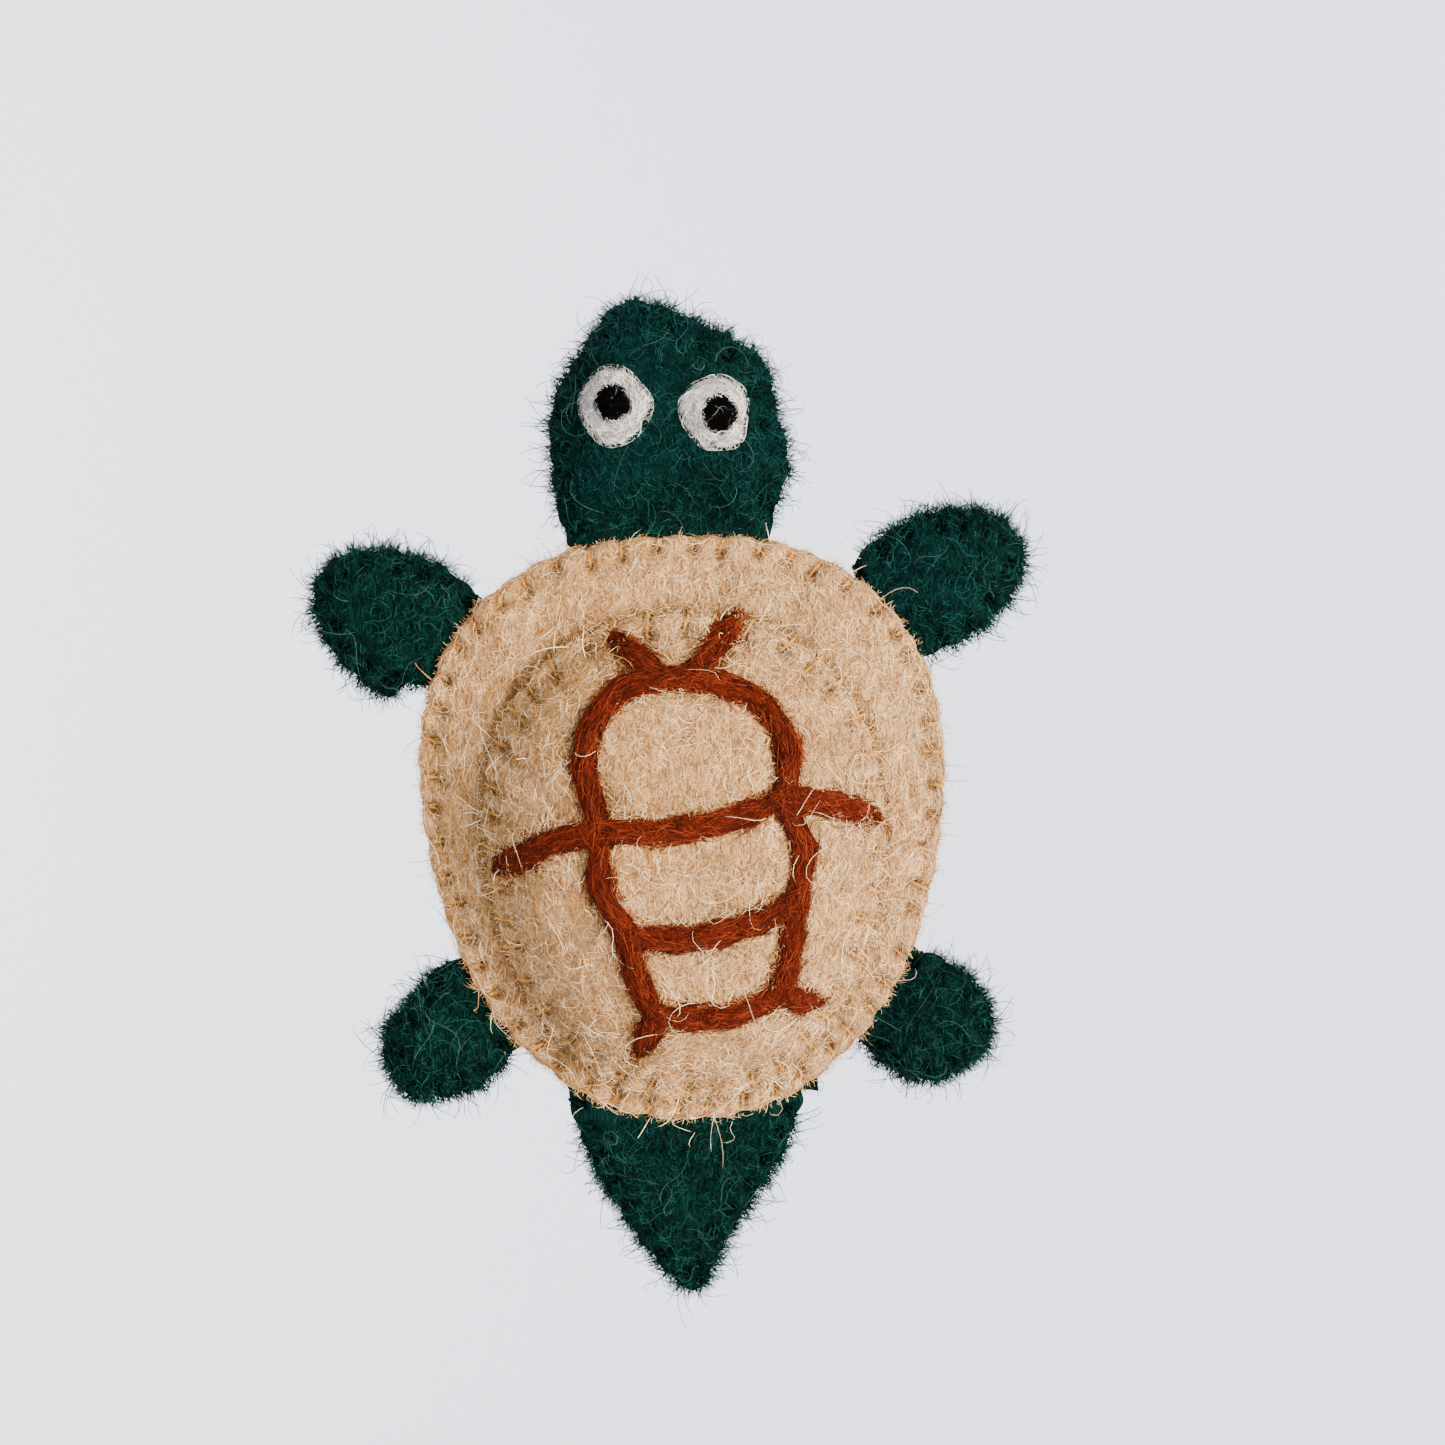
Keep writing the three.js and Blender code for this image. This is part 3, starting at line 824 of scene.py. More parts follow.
class Wiring:
    """Adds nodes to one tree and joins them up."""

    def __init__(self, tree: bpy.types.NodeTree) -> None:
        """Starts with the tree as it is."""
        self.tree = tree

    def add(self, kind: str, settings: dict | None = None, **inputs: object) -> bpy.types.Node:
        """Adds a node.

        Args:
            kind: Its Blender type.
            settings: Its own settings by name.
            inputs: For each input by name, a socket to join or a value. An underscore stands for a space.

        Returns:
            The node.
        """
        node = self.tree.nodes.new(kind)
        for name, value in (settings or {}).items():
            setattr(node, name, value)
        for name, value in inputs.items():
            self.feed(node.inputs[name.replace("_", " ")], value)
        return node

    def feed(self, socket: bpy.types.NodeSocket, value: object) -> None:
        """Joins a socket to another, or sets its value.

        Args:
            socket: The input.
            value: What goes into it.
        """
        if isinstance(value, bpy.types.NodeSocket):
            self.tree.links.new(value, socket)
        else:
            socket.default_value = value

    def mix(self, share: object, first: object, second: object, how: str = "MIX") -> bpy.types.NodeSocket:
        """Adds a mix of two colours.

        Args:
            share: How much of the second.
            first: The first colour.
            second: The second.
            how: The blend mode.

        Returns:
            The mixed colour.
        """
        node = self.tree.nodes.new("ShaderNodeMix")
        node.data_type, node.blend_type = "RGBA", how
        for place, value in ((0, share), (6, first), (7, second)):
            self.feed(node.inputs[place], value)
        return node.outputs[2]

    def sum(self, operation: str, first: object, second: object = 0.0) -> bpy.types.NodeSocket:
        """Adds one Math node.

        Args:
            operation: What it does.
            first: Its first number.
            second: Its second.

        Returns:
            The result.
        """
        node = self.tree.nodes.new("ShaderNodeMath")
        node.operation = operation
        self.feed(node.inputs[0], first)
        self.feed(node.inputs[1], second)
        return node.outputs[0]

    def ease(self, value: object, low: float, high: float, top: float = 1.0) -> bpy.types.NodeSocket:
        """Returns 0 where the value is below low, top where it is above high, and a smooth step between."""
        return self.add("ShaderNodeMapRange", {"interpolation_type": "SMOOTHSTEP"}, Value=value, From_Min=low,
                        From_Max=high, To_Min=0.0, To_Max=top).outputs[0]

    def noise(self, place: object, scale: float, detail: float, distortion: float = 0.0) -> bpy.types.NodeSocket:
        """Returns noise from about 0 to 1, with that many lumps for each unit of length."""
        return self.add("ShaderNodeTexNoise", None, Vector=place, Scale=scale, Detail=detail, Roughness=0.6,
                        Distortion=distortion).outputs[0]

    def strands(self, place: object, turn: tuple[float, float, float], scale: float) -> bpy.types.NodeSocket:
        """Thin bright lines that run along one turned axis: noise stretched seven times, near its middle value."""
        turned = self.add("ShaderNodeMapping", None, Vector=place, Rotation=turn, Scale=(1.0, 1.0, 0.14)).outputs[0]
        off = self.sum("MULTIPLY", self.sum("SUBTRACT", self.noise(turned, scale, 1.0, 1.1), 0.5), 14.0)
        return self.sum("MAXIMUM", self.sum("SUBTRACT", 1.0, self.sum("ABSOLUTE", off)), 0.0)


def group(name: str, colours: list[str], values: list[str], outputs: list[tuple[str, str]]) -> tuple:
    """Starts a node group.

    Args:
        name: Its name.
        colours: Its colour inputs.
        values: Its number inputs.
        outputs: Each output's name and socket type.

    Returns:
        The group, its wiring, its input node and its output node.
    """
    tree = bpy.data.node_groups.new(name, "ShaderNodeTree")
    for colour in colours:
        tree.interface.new_socket(colour, in_out="INPUT", socket_type="NodeSocketColor")
    for value in values:
        tree.interface.new_socket(value, in_out="INPUT", socket_type="NodeSocketFloat")
    for label, kind in outputs:
        tree.interface.new_socket(label, in_out="OUTPUT", socket_type=kind)
    wiring = Wiring(tree)
    return tree, wiring, wiring.add("NodeGroupInput"), wiring.add("NodeGroupOutput")


def drift_group() -> bpy.types.NodeTree:
    """A colour that drifts from one side to the other: Left, Right and Top colours blend by place, unevenly. On the tan
    felt and fibres the paler Right is painted light and the darker Top is painted shade.
    """
    tree, wire, given, result = group("tone_and_painted_light_drift", ["Left", "Right", "Top"], [], [("Color", "NodeSocketColor")])
    place = wire.add("ShaderNodeTexCoord").outputs["Object"]
    apart = wire.add("ShaderNodeSeparateXYZ", None, Vector=place)
    uneven = wire.noise(place, 90.0, 2.0)
    across = wire.sum("ADD", wire.sum("MULTIPLY", apart.outputs["X"], 14.0), uneven)
    colour = wire.mix(wire.ease(across, 0.2, 0.85), given.outputs["Left"], given.outputs["Right"])
    upward = wire.sum("ADD", wire.sum("MULTIPLY", apart.outputs["Z"], 12.0), uneven)
    wire.feed(result.inputs["Color"], wire.mix(wire.ease(upward, 1.0, 1.5, 0.7), colour, given.outputs["Top"]))
    return tree


def felt_group() -> bpy.types.NodeTree:
    """Felt: a base colour clouded by darker smudges and lighter fibres, and a matted height, whose low places are
    darkened as painted shade.

    The tint attribute says how deep a stitch pulls the felt in, and turns it towards the Hollow colour: painted shade
    in the stitch hollows and along sewn edges. On the roving the tint is random mottle instead.
    """
    tree, wire, given, result = group("felt_surface", ["Base", "Smudge", "Light", "Hollow"], ["Clouds", "Fibres"],
                                      [("Color", "NodeSocketColor"), ("Height", "NodeSocketFloat"),
                                       ("Roughness", "NodeSocketFloat")])
    place = wire.add("ShaderNodeTexCoord").outputs["Object"]
    depth = wire.add("ShaderNodeAttribute", {"attribute_name": "tint"}).outputs["Fac"]
    clouds = wire.ease(wire.noise(place, 135.0, 3.0, 0.6), 0.44, 0.74)
    colour = wire.mix(wire.sum("MULTIPLY", clouds, given.outputs["Clouds"]), given.outputs["Base"],
                      given.outputs["Smudge"])
    matted = wire.noise(place, 950.0, 4.0, 0.8)
    grain = wire.noise(place, 4200.0, 2.0)
    lines = wire.strands(place, (0.3, 0.9, 0.2), 1500.0)
    for turn in ((1.5, -0.6, 0.8), (0.9, 2.1, -0.5), (2.4, 0.2, 1.3)):
        lines = wire.sum("MAXIMUM", lines, wire.strands(place, turn, 1500.0))
    # Painted shade mixed with mottled tone: where the matted relief is low the colour darkens, and where it is high it
    # pales.
    colour = wire.mix(wire.ease(matted, 0.62, 0.4, 0.35), colour, given.outputs["Smudge"])
    pale = wire.sum("MAXIMUM", lines, wire.ease(matted, 0.5, 0.75, 0.6))
    colour = wire.mix(wire.sum("MULTIPLY", pale, given.outputs["Fibres"]), colour, given.outputs["Light"])
    # Painted shade: the colour goes towards Hollow where the tint is high.
    colour = wire.mix(wire.ease(depth, 0.12, 0.95, 0.9), colour, given.outputs["Hollow"])
    wire.feed(result.inputs["Color"], colour)
    height = wire.sum("ADD", wire.sum("MULTIPLY", matted, 0.7), wire.sum("MULTIPLY", lines, 0.4))
    wire.feed(result.inputs["Height"], wire.sum("ADD", height, wire.sum("MULTIPLY", grain, 0.3)))
    wire.feed(result.inputs["Roughness"], wire.ease(matted, 0.3, 0.7))
    return tree


def loose_group() -> bpy.types.NodeTree:
    """Loose fibres: each fibre's tint attribute picks its colour from deep through plain and light to stray.

    They are deeper over the same clouds that darken the felt.
    """
    tree, wire, given, result = group("loose_fibre", ["Deep", "Plain", "Light", "Stray"], [],
                                      [("Color", "NodeSocketColor")])
    tint = wire.add("ShaderNodeAttribute", {"attribute_name": "tint"}).outputs["Fac"]
    place = wire.add("ShaderNodeTexCoord").outputs["Object"]
    clouds = wire.ease(wire.noise(place, 135.0, 3.0, 0.6), 0.44, 0.74, 0.4)
    colour = wire.mix(wire.ease(tint, 0.0, 0.35), given.outputs["Deep"], given.outputs["Plain"])
    colour = wire.mix(wire.ease(tint, 0.45, 0.86), colour, given.outputs["Light"])
    colour = wire.mix(clouds, colour, given.outputs["Deep"])
    wire.feed(result.inputs["Color"], wire.mix(wire.ease(tint, 0.9, 0.98), colour, given.outputs["Stray"]))
    return tree


class Groups:
    """The node groups that every finish shares, each made once."""

    def __init__(self) -> None:
        """Makes the three groups."""
        self.drift = drift_group()
        self.felt = felt_group()
        self.loose = loose_group()


@dataclass(frozen=True)
class ColourByPlace:
    """A colour that drifts over the puppet: its left, right and top, as hex codes. In the tan ones the paler right is
    painted light and the darker top is painted shade.
    """

    left: str
    right: str
    top: str

    @staticmethod
    def plain(code: str) -> "ColourByPlace":
        """Returns the same colour everywhere."""
        return ColourByPlace(code, code, code)

    def socket(self, wire: Wiring, groups: Groups) -> object:
        """Adds the colour to a material.

        Args:
            wire: The material's wiring.
            groups: The shared node groups.

        Returns:
            A drifting colour as a socket, or a plain one as its numbers.
        """
        if self.left == self.right == self.top:
            return shade(self.left)
        node = wire.add("ShaderNodeGroup", {"node_tree": groups.drift}, Left=shade(self.left),
                        Right=shade(self.right), Top=shade(self.top))
        return node.outputs["Color"]


def cloth_shader(name: str, sheen: float, sheen_colour: str, gloss: float) -> tuple:
    """Starts a matt woolly material.

    Args:
        name: The material's name.
        sheen: How strongly the nap catches light at the edges.
        sheen_colour: The nap's colour there.
        gloss: How much light the wool mirrors.

    Returns:
        The material, its wiring and its shader node.
    """
    material = bpy.data.materials.new(name)
    material.use_nodes = True
    wire = Wiring(material.node_tree)
    shader = material.node_tree.nodes["Principled BSDF"]
    shader.inputs["Sheen Weight"].default_value = sheen
    shader.inputs["Sheen Roughness"].default_value = 0.45
    shader.inputs["Sheen Tint"].default_value = shade(sheen_colour)
    shader.inputs["Specular IOR Level"].default_value = gloss
    return material, wire, shader


@dataclass(frozen=True)
class FeltFinish:
    """Wool felt of one colour, with smudges, paler surface fibres and painted shade in its stitch hollows and along
    sewn edges; the tan felt's colour is also paler on the right as painted light and darker over the top as painted
    shade.
    """

    name: str
    base: ColourByPlace
    smudge_and_shade: str
    light: str
    # hollow: painted shade in stitch hollows and along sewn edges; random mottle on the roving.
    hollow: str
    sheen_colour: str
    clouds: float = 0.6
    fibre_share: float = 0.5
    sheen: float = 0.25
    relief: float = 0.0005
    gloss: float = 0.1

    def material(self, groups: Groups) -> bpy.types.Material:
        """Makes the felt.

        Args:
            groups: The shared node groups.

        Returns:
            The material.
        """
        material, wire, shader = cloth_shader(self.name, self.sheen, self.sheen_colour, self.gloss)
        felt = wire.add("ShaderNodeGroup", {"node_tree": groups.felt}, Base=self.base.socket(wire, groups),
                        Smudge=shade(self.smudge_and_shade), Light=shade(self.light), Hollow=shade(self.hollow),
                        Clouds=self.clouds, Fibres=self.fibre_share)
        wire.feed(shader.inputs["Base Color"], felt.outputs["Color"])
        rough = wire.sum("ADD", wire.sum("MULTIPLY", felt.outputs["Roughness"], 0.16), 0.82)
        wire.feed(shader.inputs["Roughness"], rough)
        bump = wire.add("ShaderNodeBump", None, Height=felt.outputs["Height"], Strength=0.8, Distance=self.relief)
        wire.feed(shader.inputs["Normal"], bump.outputs["Normal"])
        return material


@dataclass(frozen=True)
class FibreFinish:
    """Loose wool fibres of one colour, which for the tan fibres is paler on the right as painted light and darker over
    the top as painted shade.
    """

    name: str
    deep: str
    plain: ColourByPlace
    light: str
    stray: str
    sheen: float = 0.05
    gloss: float = 0.1

    def material(self, groups: Groups) -> bpy.types.Material:
        """Makes the fibres' wool.

        Args:
            groups: The shared node groups.

        Returns:
            The material.
        """
        material, wire, shader = cloth_shader(self.name, self.sheen, self.light, self.gloss)
        loose = wire.add("ShaderNodeGroup", {"node_tree": groups.loose}, Deep=shade(self.deep),
                         Plain=self.plain.socket(wire, groups), Light=shade(self.light), Stray=shade(self.stray))
        wire.feed(shader.inputs["Base Color"], loose.outputs["Color"])
        shader.inputs["Roughness"].default_value = 0.7
        return material


# Green: tealer and a little lighter towards the right and the top.
GREEN_FELT_COLOUR = ColourByPlace("000c07", "010d0b", "011314")
# Tan felt: the paler right colour is painted light on the side the key light comes from, and the darker top colour is
# painted shade over the top.
TAN_FELT = FeltFinish("tan_wool_felt", ColourByPlace("825226", "805a38", "68401a"), "522e0e", "c6a270", "4a2a08", "f0e2c8", 0.6,
                       0.5, 0.05)
GREEN_FELT = FeltFinish("green_wool_felt", GREEN_FELT_COLOUR, "000605", "0c302a", "000202", "5f9c92", 0.6, 0.35, 0.0,
                        gloss=0.01)
ROVING_WOOL = FeltFinish("brown_wool_roving", ColourByPlace.plain("400d03"), "1a0401", "581a07", "100200", "c98a5a", 0.6, 0.5,
                         0.02, gloss=0.05)
WHITE_WOOL = FeltFinish("white_wool_roving", ColourByPlace.plain("8e8880"), "60584e", "bab4ac", "3e382f", "ffffff", 0.5, 0.6,
                        0.05)
BLACK_WOOL = FeltFinish("black_wool_roving", ColourByPlace.plain("010101"), "000000", "050505", "000000", "606060", 0.4, 0.4,
                        0.0, gloss=0.01)
OCHRE_THREAD = FeltFinish("ochre_sewing_thread", ColourByPlace.plain("94601f"), "663a0c", "b48038", "422606", "e0b878", 0.5,
                          0.5, 0.05, 0.0001)
GREEN_THREAD = FeltFinish("green_sewing_thread", ColourByPlace.plain("010c09"), "010604", "061a15", "010302", "3c7068", 0.4,
                          0.4, 0.0, 0.0001, 0.02)
STUFFING_WOOL = FeltFinish("carded_stuffing_wool", ColourByPlace.plain("e4dccb"), "c4b89e", "f6f1e6", "a09478", "ffffff")
# Tan fibres: paler on the right as painted light, darker over the top as painted shade.
TAN_FIBRES = FibreFinish("tan_wool_fibres", "70461c", ColourByPlace("a1723a", "a67f56", "8a5c28"), "e0c496", "f0dcb4", 0.05)
GREEN_FIBRES = FibreFinish("green_wool_fibres", "000504", ColourByPlace("000f09", "02100f", "031c1e"), "123d37", "3a544d", 0.0,
                           0.03)
ROVING_FIBRES = FibreFinish("brown_wool_fibres", "180300", ColourByPlace.plain("420f03"), "6e2a10", "86542c", 0.02, 0.05)
WHITE_FIBRES = FibreFinish("white_wool_fibres", "5e574e", ColourByPlace.plain("a09a92"), "d6d2cb", "f2f0ec", 0.03)
BLACK_FIBRES = FibreFinish("black_wool_fibres", "000000", ColourByPlace.plain("010101"), "050505", "5c5854", 0.0, 0.02)


class Finishes:
    """Every finish as a material, each made the first time that a piece asks for it."""

    def __init__(self) -> None:
        """Starts with the shared node groups and no materials."""
        self.groups = Groups()
        self.made: dict[str, bpy.types.Material] = {}

    def of(self, finish: FeltFinish | FibreFinish) -> bpy.types.Material:
        """Returns the finish's material."""
        if finish.name not in self.made:
            self.made[finish.name] = finish.material(self.groups)
        return self.made[finish.name]


# ---- Placing pieces ----


@dataclass(frozen=True)
class Seat:
    """What pieces ride on: a body, and for a sewn limb the line where its felt meets the shell."""

    body: str
    root: tuple[float, float] | None = None
    outward: tuple[float, float] | None = None
    before: float = 1.4
    after: float = 1.8

    def hold(self, piece: bpy.types.Object) -> None:
        """Makes a piece ride on the body. A piece with a root neither rides nor bends: only its transform is baked into
        its mesh.

        Args:
            piece: The finished object.
        """
        if self.root is None:
            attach(piece, self.body)
            return
        root = np.array([self.root[0], 0.0, self.root[1]]) + MIDDLE
        outward = np.array([self.outward[0], 0.0, self.outward[1]])
        start, end = (root - outward * self.before) * MM, (root + outward * self.after) * MM
        tuple(start)
        tuple(end)
        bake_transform(piece)


@dataclass
class Workshop:
    """Turns shapes into finished pieces of the puppet, and keeps count of them."""

    finishes: Finishes
    faces: int = 0

    def add(self, shape: Shape, name: str, finish: FeltFinish | FibreFinish, slot: str, seat: Seat,
            stands_for: str | None = None) -> bpy.types.Object:
        """Makes one piece.

        Args:
            shape: Its mesh.
            name: Its name.
            finish: What it is made of.
            slot: Not used.
            seat: What it rides on.
            stands_for: The CAD node that it replaces.

        Returns:
            The object.
        """
        piece = shape.to_object(name, self.finishes.of(finish))
        seat.hold(piece)
        if stands_for is not None:
            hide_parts(stands_for)
        count = 2 * len(shape.quads) + len(shape.triangles)
        self.faces += count
        LOG.info("%s: %d triangles", name, count)
        return piece

    def sheet(self, outline: Outline) -> None:
        """Works out the size of the sheet that the outline would be cut from, and keeps nothing."""
        outline.size()


@dataclass(frozen=True)
class Coat:
    """The loose fibres of a felt surface: how many lie, stand, stray, or stick out round its rim, and their finish."""

    finish: FibreFinish
    slot: str
    lying: int
    standing: int
    straying: int
    fringe: int
    wisps: int
    thickness: float = 0.09
    length: float = 1.0
    edge: float = 1.0

    def thinned(self, share: float) -> "Coat":
        """Returns the same coat with that share of its fibres."""
        kinds = ("lying", "standing", "straying", "fringe", "wisps")
        return replace(self, **{kind: round(getattr(self, kind) * share) for kind in kinds})

    def grow(self, shape: Shape, seed: int, weight: Weight, settle: Settle | None = None) -> Shape:
        """Grows the fibres on a shape.

        Args:
            shape: What they grow on.
            seed: Which fibres.
            weight: From places and normals, how likely a fibre is there.
            settle: Lays the lying fibres' points onto the surface.

        Returns:
            All the fibres as one shape.
        """
        rng = np.random.default_rng(seed)
        wide, long, edge = self.thickness, self.length, self.edge
        lying = Pile(self.lying, (1.6 * long, 4.4 * long), (0.05, 0.5), (wide * 0.6, wide), 2.6, 0.2, 4, (0.0, 0.86))
        ruffled = Pile(self.lying // 3, (0.9, 2.4), (0.1, 0.6), (wide * 0.6, wide), 1.8, 0.3, 3, (0.0, 0.86))
        standing = Pile(self.standing, (0.5, 1.2), (0.3, 0.9), (wide * 0.6, wide * 0.9), 0.9, 0.8, 2, (0.0, 0.85))
        fringe = Pile(self.fringe, (0.6 * edge, 2.2 * edge), (0.4 * edge, 1.6 * edge), (wide * 0.55, wide * 0.85),
                      1.6, 0.85, 3, (0.3, 0.86))
        wisps = Pile(self.wisps, (2.0, 5.5), (1.0, 3.4), (0.085, 0.11), 2.4, 0.8, 6, (0.3, 0.9))
        straying = Pile(self.straying, (3.0, 8.0), (0.3, 1.6), (0.035, 0.05), 3.0, 0.45, 7, (0.86, 1.0))
        grown = []
        for pile in (lying, ruffled, standing, fringe, wisps, straying):
            chance = rimward(weight) if pile in (fringe, wisps) else weight
            roots, normals = scatter(shape, pile.count, rng, chance)
            grown.append(fibres(roots, normals, pile, rng, settle=settle if pile is lying else None))
        return pile_of(grown)


# ---- Limbs ----


@dataclass(frozen=True)
class Root:
    """Where a limb is tucked under the shell's rim: the middle of its hinge line, which way is out, and its width."""

    place: tuple[float, float]
    outward: tuple[float, float]
    half_width: float

    def across(self, x: Array, z: Array) -> tuple[Array, Array]:
        """Returns how far places are outward of the hinge line, and how far along it from the middle."""
        dx, dz = x - self.place[0], z - self.place[1]
        return dx * self.outward[0] + dz * self.outward[1], dx * -self.outward[1] + dz * self.outward[0]

    def room(self, x: Array, z: Array) -> Array:
        """How far a shell layer stands off the seam plane to let this root in: 0.8 mm, fading at its two ends."""
        out, along = self.across(x, z)
        near = np.clip((self.half_width + 1.6 - np.abs(along)) / 2.4, 0, 1)
        return 0.8 * near * near * (3 - 2 * near) * (np.abs(out) < 9)

    def slimmed(self, x: Array, z: Array) -> Array:
        """How much of the limb's thickness is left: half inside the rim, and all from 3 mm outside it."""
        out, _ = self.across(x, z)
        t = np.clip((out + 1.2) / 4.2, 0, 1)
        return 0.5 + 0.5 * t * t * (3 - 2 * t)


@dataclass(frozen=True)
class LimbCut:
    """How one limb is cut and filled: its free edge, hinge, crowns, and stitch spacing."""

    name: str
    edge: list[tuple[float, float]]
    root: Root
    crowns: tuple[float, float]
    seed: int
    power: float = 3.0
    fullness: float = 1.0
    stuffing: float = 0.86
    pitch: float = 2.9


FRONT_LEFT = LimbCut(
    "front_left_flipper",
    [(-20.6, 24.7), (-22.6, 26.1), (-27.3, 27.4), (-32.1, 26.9), (-34.3, 24.0), (-33.4, 19.0), (-30.8, 15.6),
     (-27.8, 13.3), (-25.4, 14.5)],
    Root((-23.0, 19.6), (-0.9048, 0.4258), 5.6), (1.0, 1.0), 41)
FRONT_RIGHT = LimbCut(
    "front_right_flipper",
    [(25.2, 15.9), (27.8, 17.2), (31.4, 20.4), (33.2, 24.0), (31.6, 28.0), (27.2, 29.5), (22.5, 28.6), (18.6, 26.6)],
    Root((21.9, 21.25), (0.8511, 0.525), 6.2), (1.0, 1.0), 42)
REAR_LEFT = LimbCut(
    "rear_left_flipper",
    [(-24.3, -12.6), (-26.3, -15.2), (-29.1, -18.2), (-29.5, -22.0), (-27.4, -25.2), (-23.6, -25.4),
     (-20.3, -24.4), (-18.3, -22.8)],
    Root((-21.3, -17.7), (-0.862, -0.507), 5.9), (1.0, 1.0), 43)
REAR_RIGHT = LimbCut(
    "rear_right_flipper",
    [(16.9, -22.6), (19.0, -24.4), (22.7, -25.5), (26.4, -24.3), (28.8, -21.5), (28.7, -18.4), (26.6, -15.4),
     (24.4, -13.6)],
    Root((20.65, -18.1), (0.7682, -0.6402), 5.9), (1.0, 1.0), 44)
TAIL = LimbCut(
    "tail",
    [(-12.3, -26.2), (-10.9, -30.3), (-7.5, -37.4), (-4.4, -42.0), (-2.2, -44.6), (-0.6, -45.6), (0.6, -44.6),
     (2.3, -41.1), (5.6, -36.2), (9.0, -31.0), (10.6, -27.1)],
    Root((0.0, -29.9), (0.0, -1.0), 11.4), (0.2, 0.2), 45, stuffing=0.0)
HEAD = LimbCut(
    "head",
    [(9.7, 29.5), (10.9, 33.0), (11.1, 35.5), (10.2, 39.0), (9.3, 43.6), (6.3, 46.1), (1.6, 48.5), (-2.2, 50.0),
     (-5.0, 49.5), (-7.8, 46.0), (-9.9, 43.0), (-11.3, 39.4), (-11.4, 34.0), (-10.8, 29.5)],
    Root((0.0, 29.5), (0.0, 1.0), 10.6), (3.4, 3.4), 46, 3.2, 0.9, 0.86, 3.0)
LIMBS = (FRONT_LEFT, FRONT_RIGHT, REAR_LEFT, REAR_RIGHT, TAIL, HEAD)


@dataclass
class Limb:
    """A head, flipper or tail: two green layers, its stuffing, its thread and its fur of fibres.

    Its sizes are in its cut. Only what is outside the shell's rim is sewn.
    """

    cut: LimbCut
    rim: Outline
    points: int
    tuck: float = 3.2
    bite: float = 1.5
    thread: float = 0.16

    def __post_init__(self) -> None:
        """Cuts and sews the limb."""
        cut = self.cut
        outline = Outline.limb(cut.edge, self.tuck, self.points)
        stitches = Stitches.along(outline, cut.pitch, self.bite, cut.seed, lambda edge: self.rim.share(*edge.T) > 1.0)
        self.pouch = Pouch(stitches.pinched(outline, 0.42), stitches, cut.crowns, cut.seed, cut.power, cut.fullness,
                           thin=cut.root.slimmed, pull=0.62, lump=0.18)
        self.seat = Seat(cut.name, cut.root.place, cut.root.outward)

    def build(self, shop: Workshop, coat: Coat, rings: int) -> None:
        """Makes the limb's pieces.

        Args:
            shop: Where pieces are made.
            coat: The fibres of one side.
            rings: How many rings each layer's grid has.
        """
        name = self.cut.name
        if self.cut.stuffing:
            filling = shop.add(self.pouch.stuffing(self.cut.stuffing, 12), f"{name}_stuffing", STUFFING_WOOL,
                               "wool_filling", self.seat, f"{name}_filling")
        for side, place in ((Side.FRONT, "front"), (Side.BACK, "back")):
            shape = self.pouch.layer(side, rings)
            shade_stitch_hollows(shape, self.pouch.stitches, side)
            layer = shop.add(shape, f"{name}_{place}_felt", GREEN_FELT, "green_felt", self.seat, f"{name}_{place}")
            shop.sheet(self.pouch.outline)
            worn = coat if side is Side.FRONT else coat.thinned(0.7)
            grown = worn.grow(shape, self.cut.seed * 10 + side.value, facing(side, self.seen),
                              lambda path, over: self.pouch.settled(path, over, side))
            shop.add(grown, f"{name}_{place}_fibres", coat.finish, coat.slot, self.seat)
        seam = "head_seam_thread" if name == "head" else f"{name}_thread"
        shop.add(self.pouch.thread(self.thread), f"{name}_whip_stitches", GREEN_THREAD, "green_thread", self.seat, seam)

    def seen(self, places: Array) -> Array:
        """Returns which places are outside the shell's rim, where fibres show."""
        return (self.cut.root.across(places[:, 0], places[:, 2])[0] > -1.5).astype(float)


def shade_stitch_hollows(shape: Shape, stitches: Stitches, side: Side) -> None:
    """Stores how deep the stitches pull the felt in at each point, for the painted shade that darkens the stitch
    hollows.
    """
    # Painted shade: the felt's material darkens it by this depth.
    shape.tint = stitches.groove(shape.points[:, 0], shape.points[:, 2], side)


def rimward(weight: Weight) -> Weight:
    """Returns the same weight, but for the felt's rounded rim alone, where its normal points outwards."""
    return lambda places, normals: weight(places, normals) * np.maximum(0.75 - np.abs(normals[:, 1]), 0)


def facing(side: Side, seen: Callable[[Array], Array]) -> Weight:
    """Returns a weight that leaves a layer's hidden inner face, and hidden places, bare."""
    return lambda places, normals: seen(places) * (normals[:, 1] * side.value > -0.35)


# ---- Eyes ----


@dataclass(frozen=True)
class EyeCut:
    """One needle-felted eye: its white disc and its pupil."""

    name: str
    white: tuple[float, float]
    pupil: tuple[float, float]
    seed: int
    white_radius: float = 3.15
    pupil_radius: float = 1.62
    white_height: float = 0.75
    pupil_height: float = 0.5


EYES = (EyeCut("left", (-5.1, 40.3), (-5.2, 40.5), 61), EyeCut("right", (4.3, 39.3), (4.7, 39.2), 62))


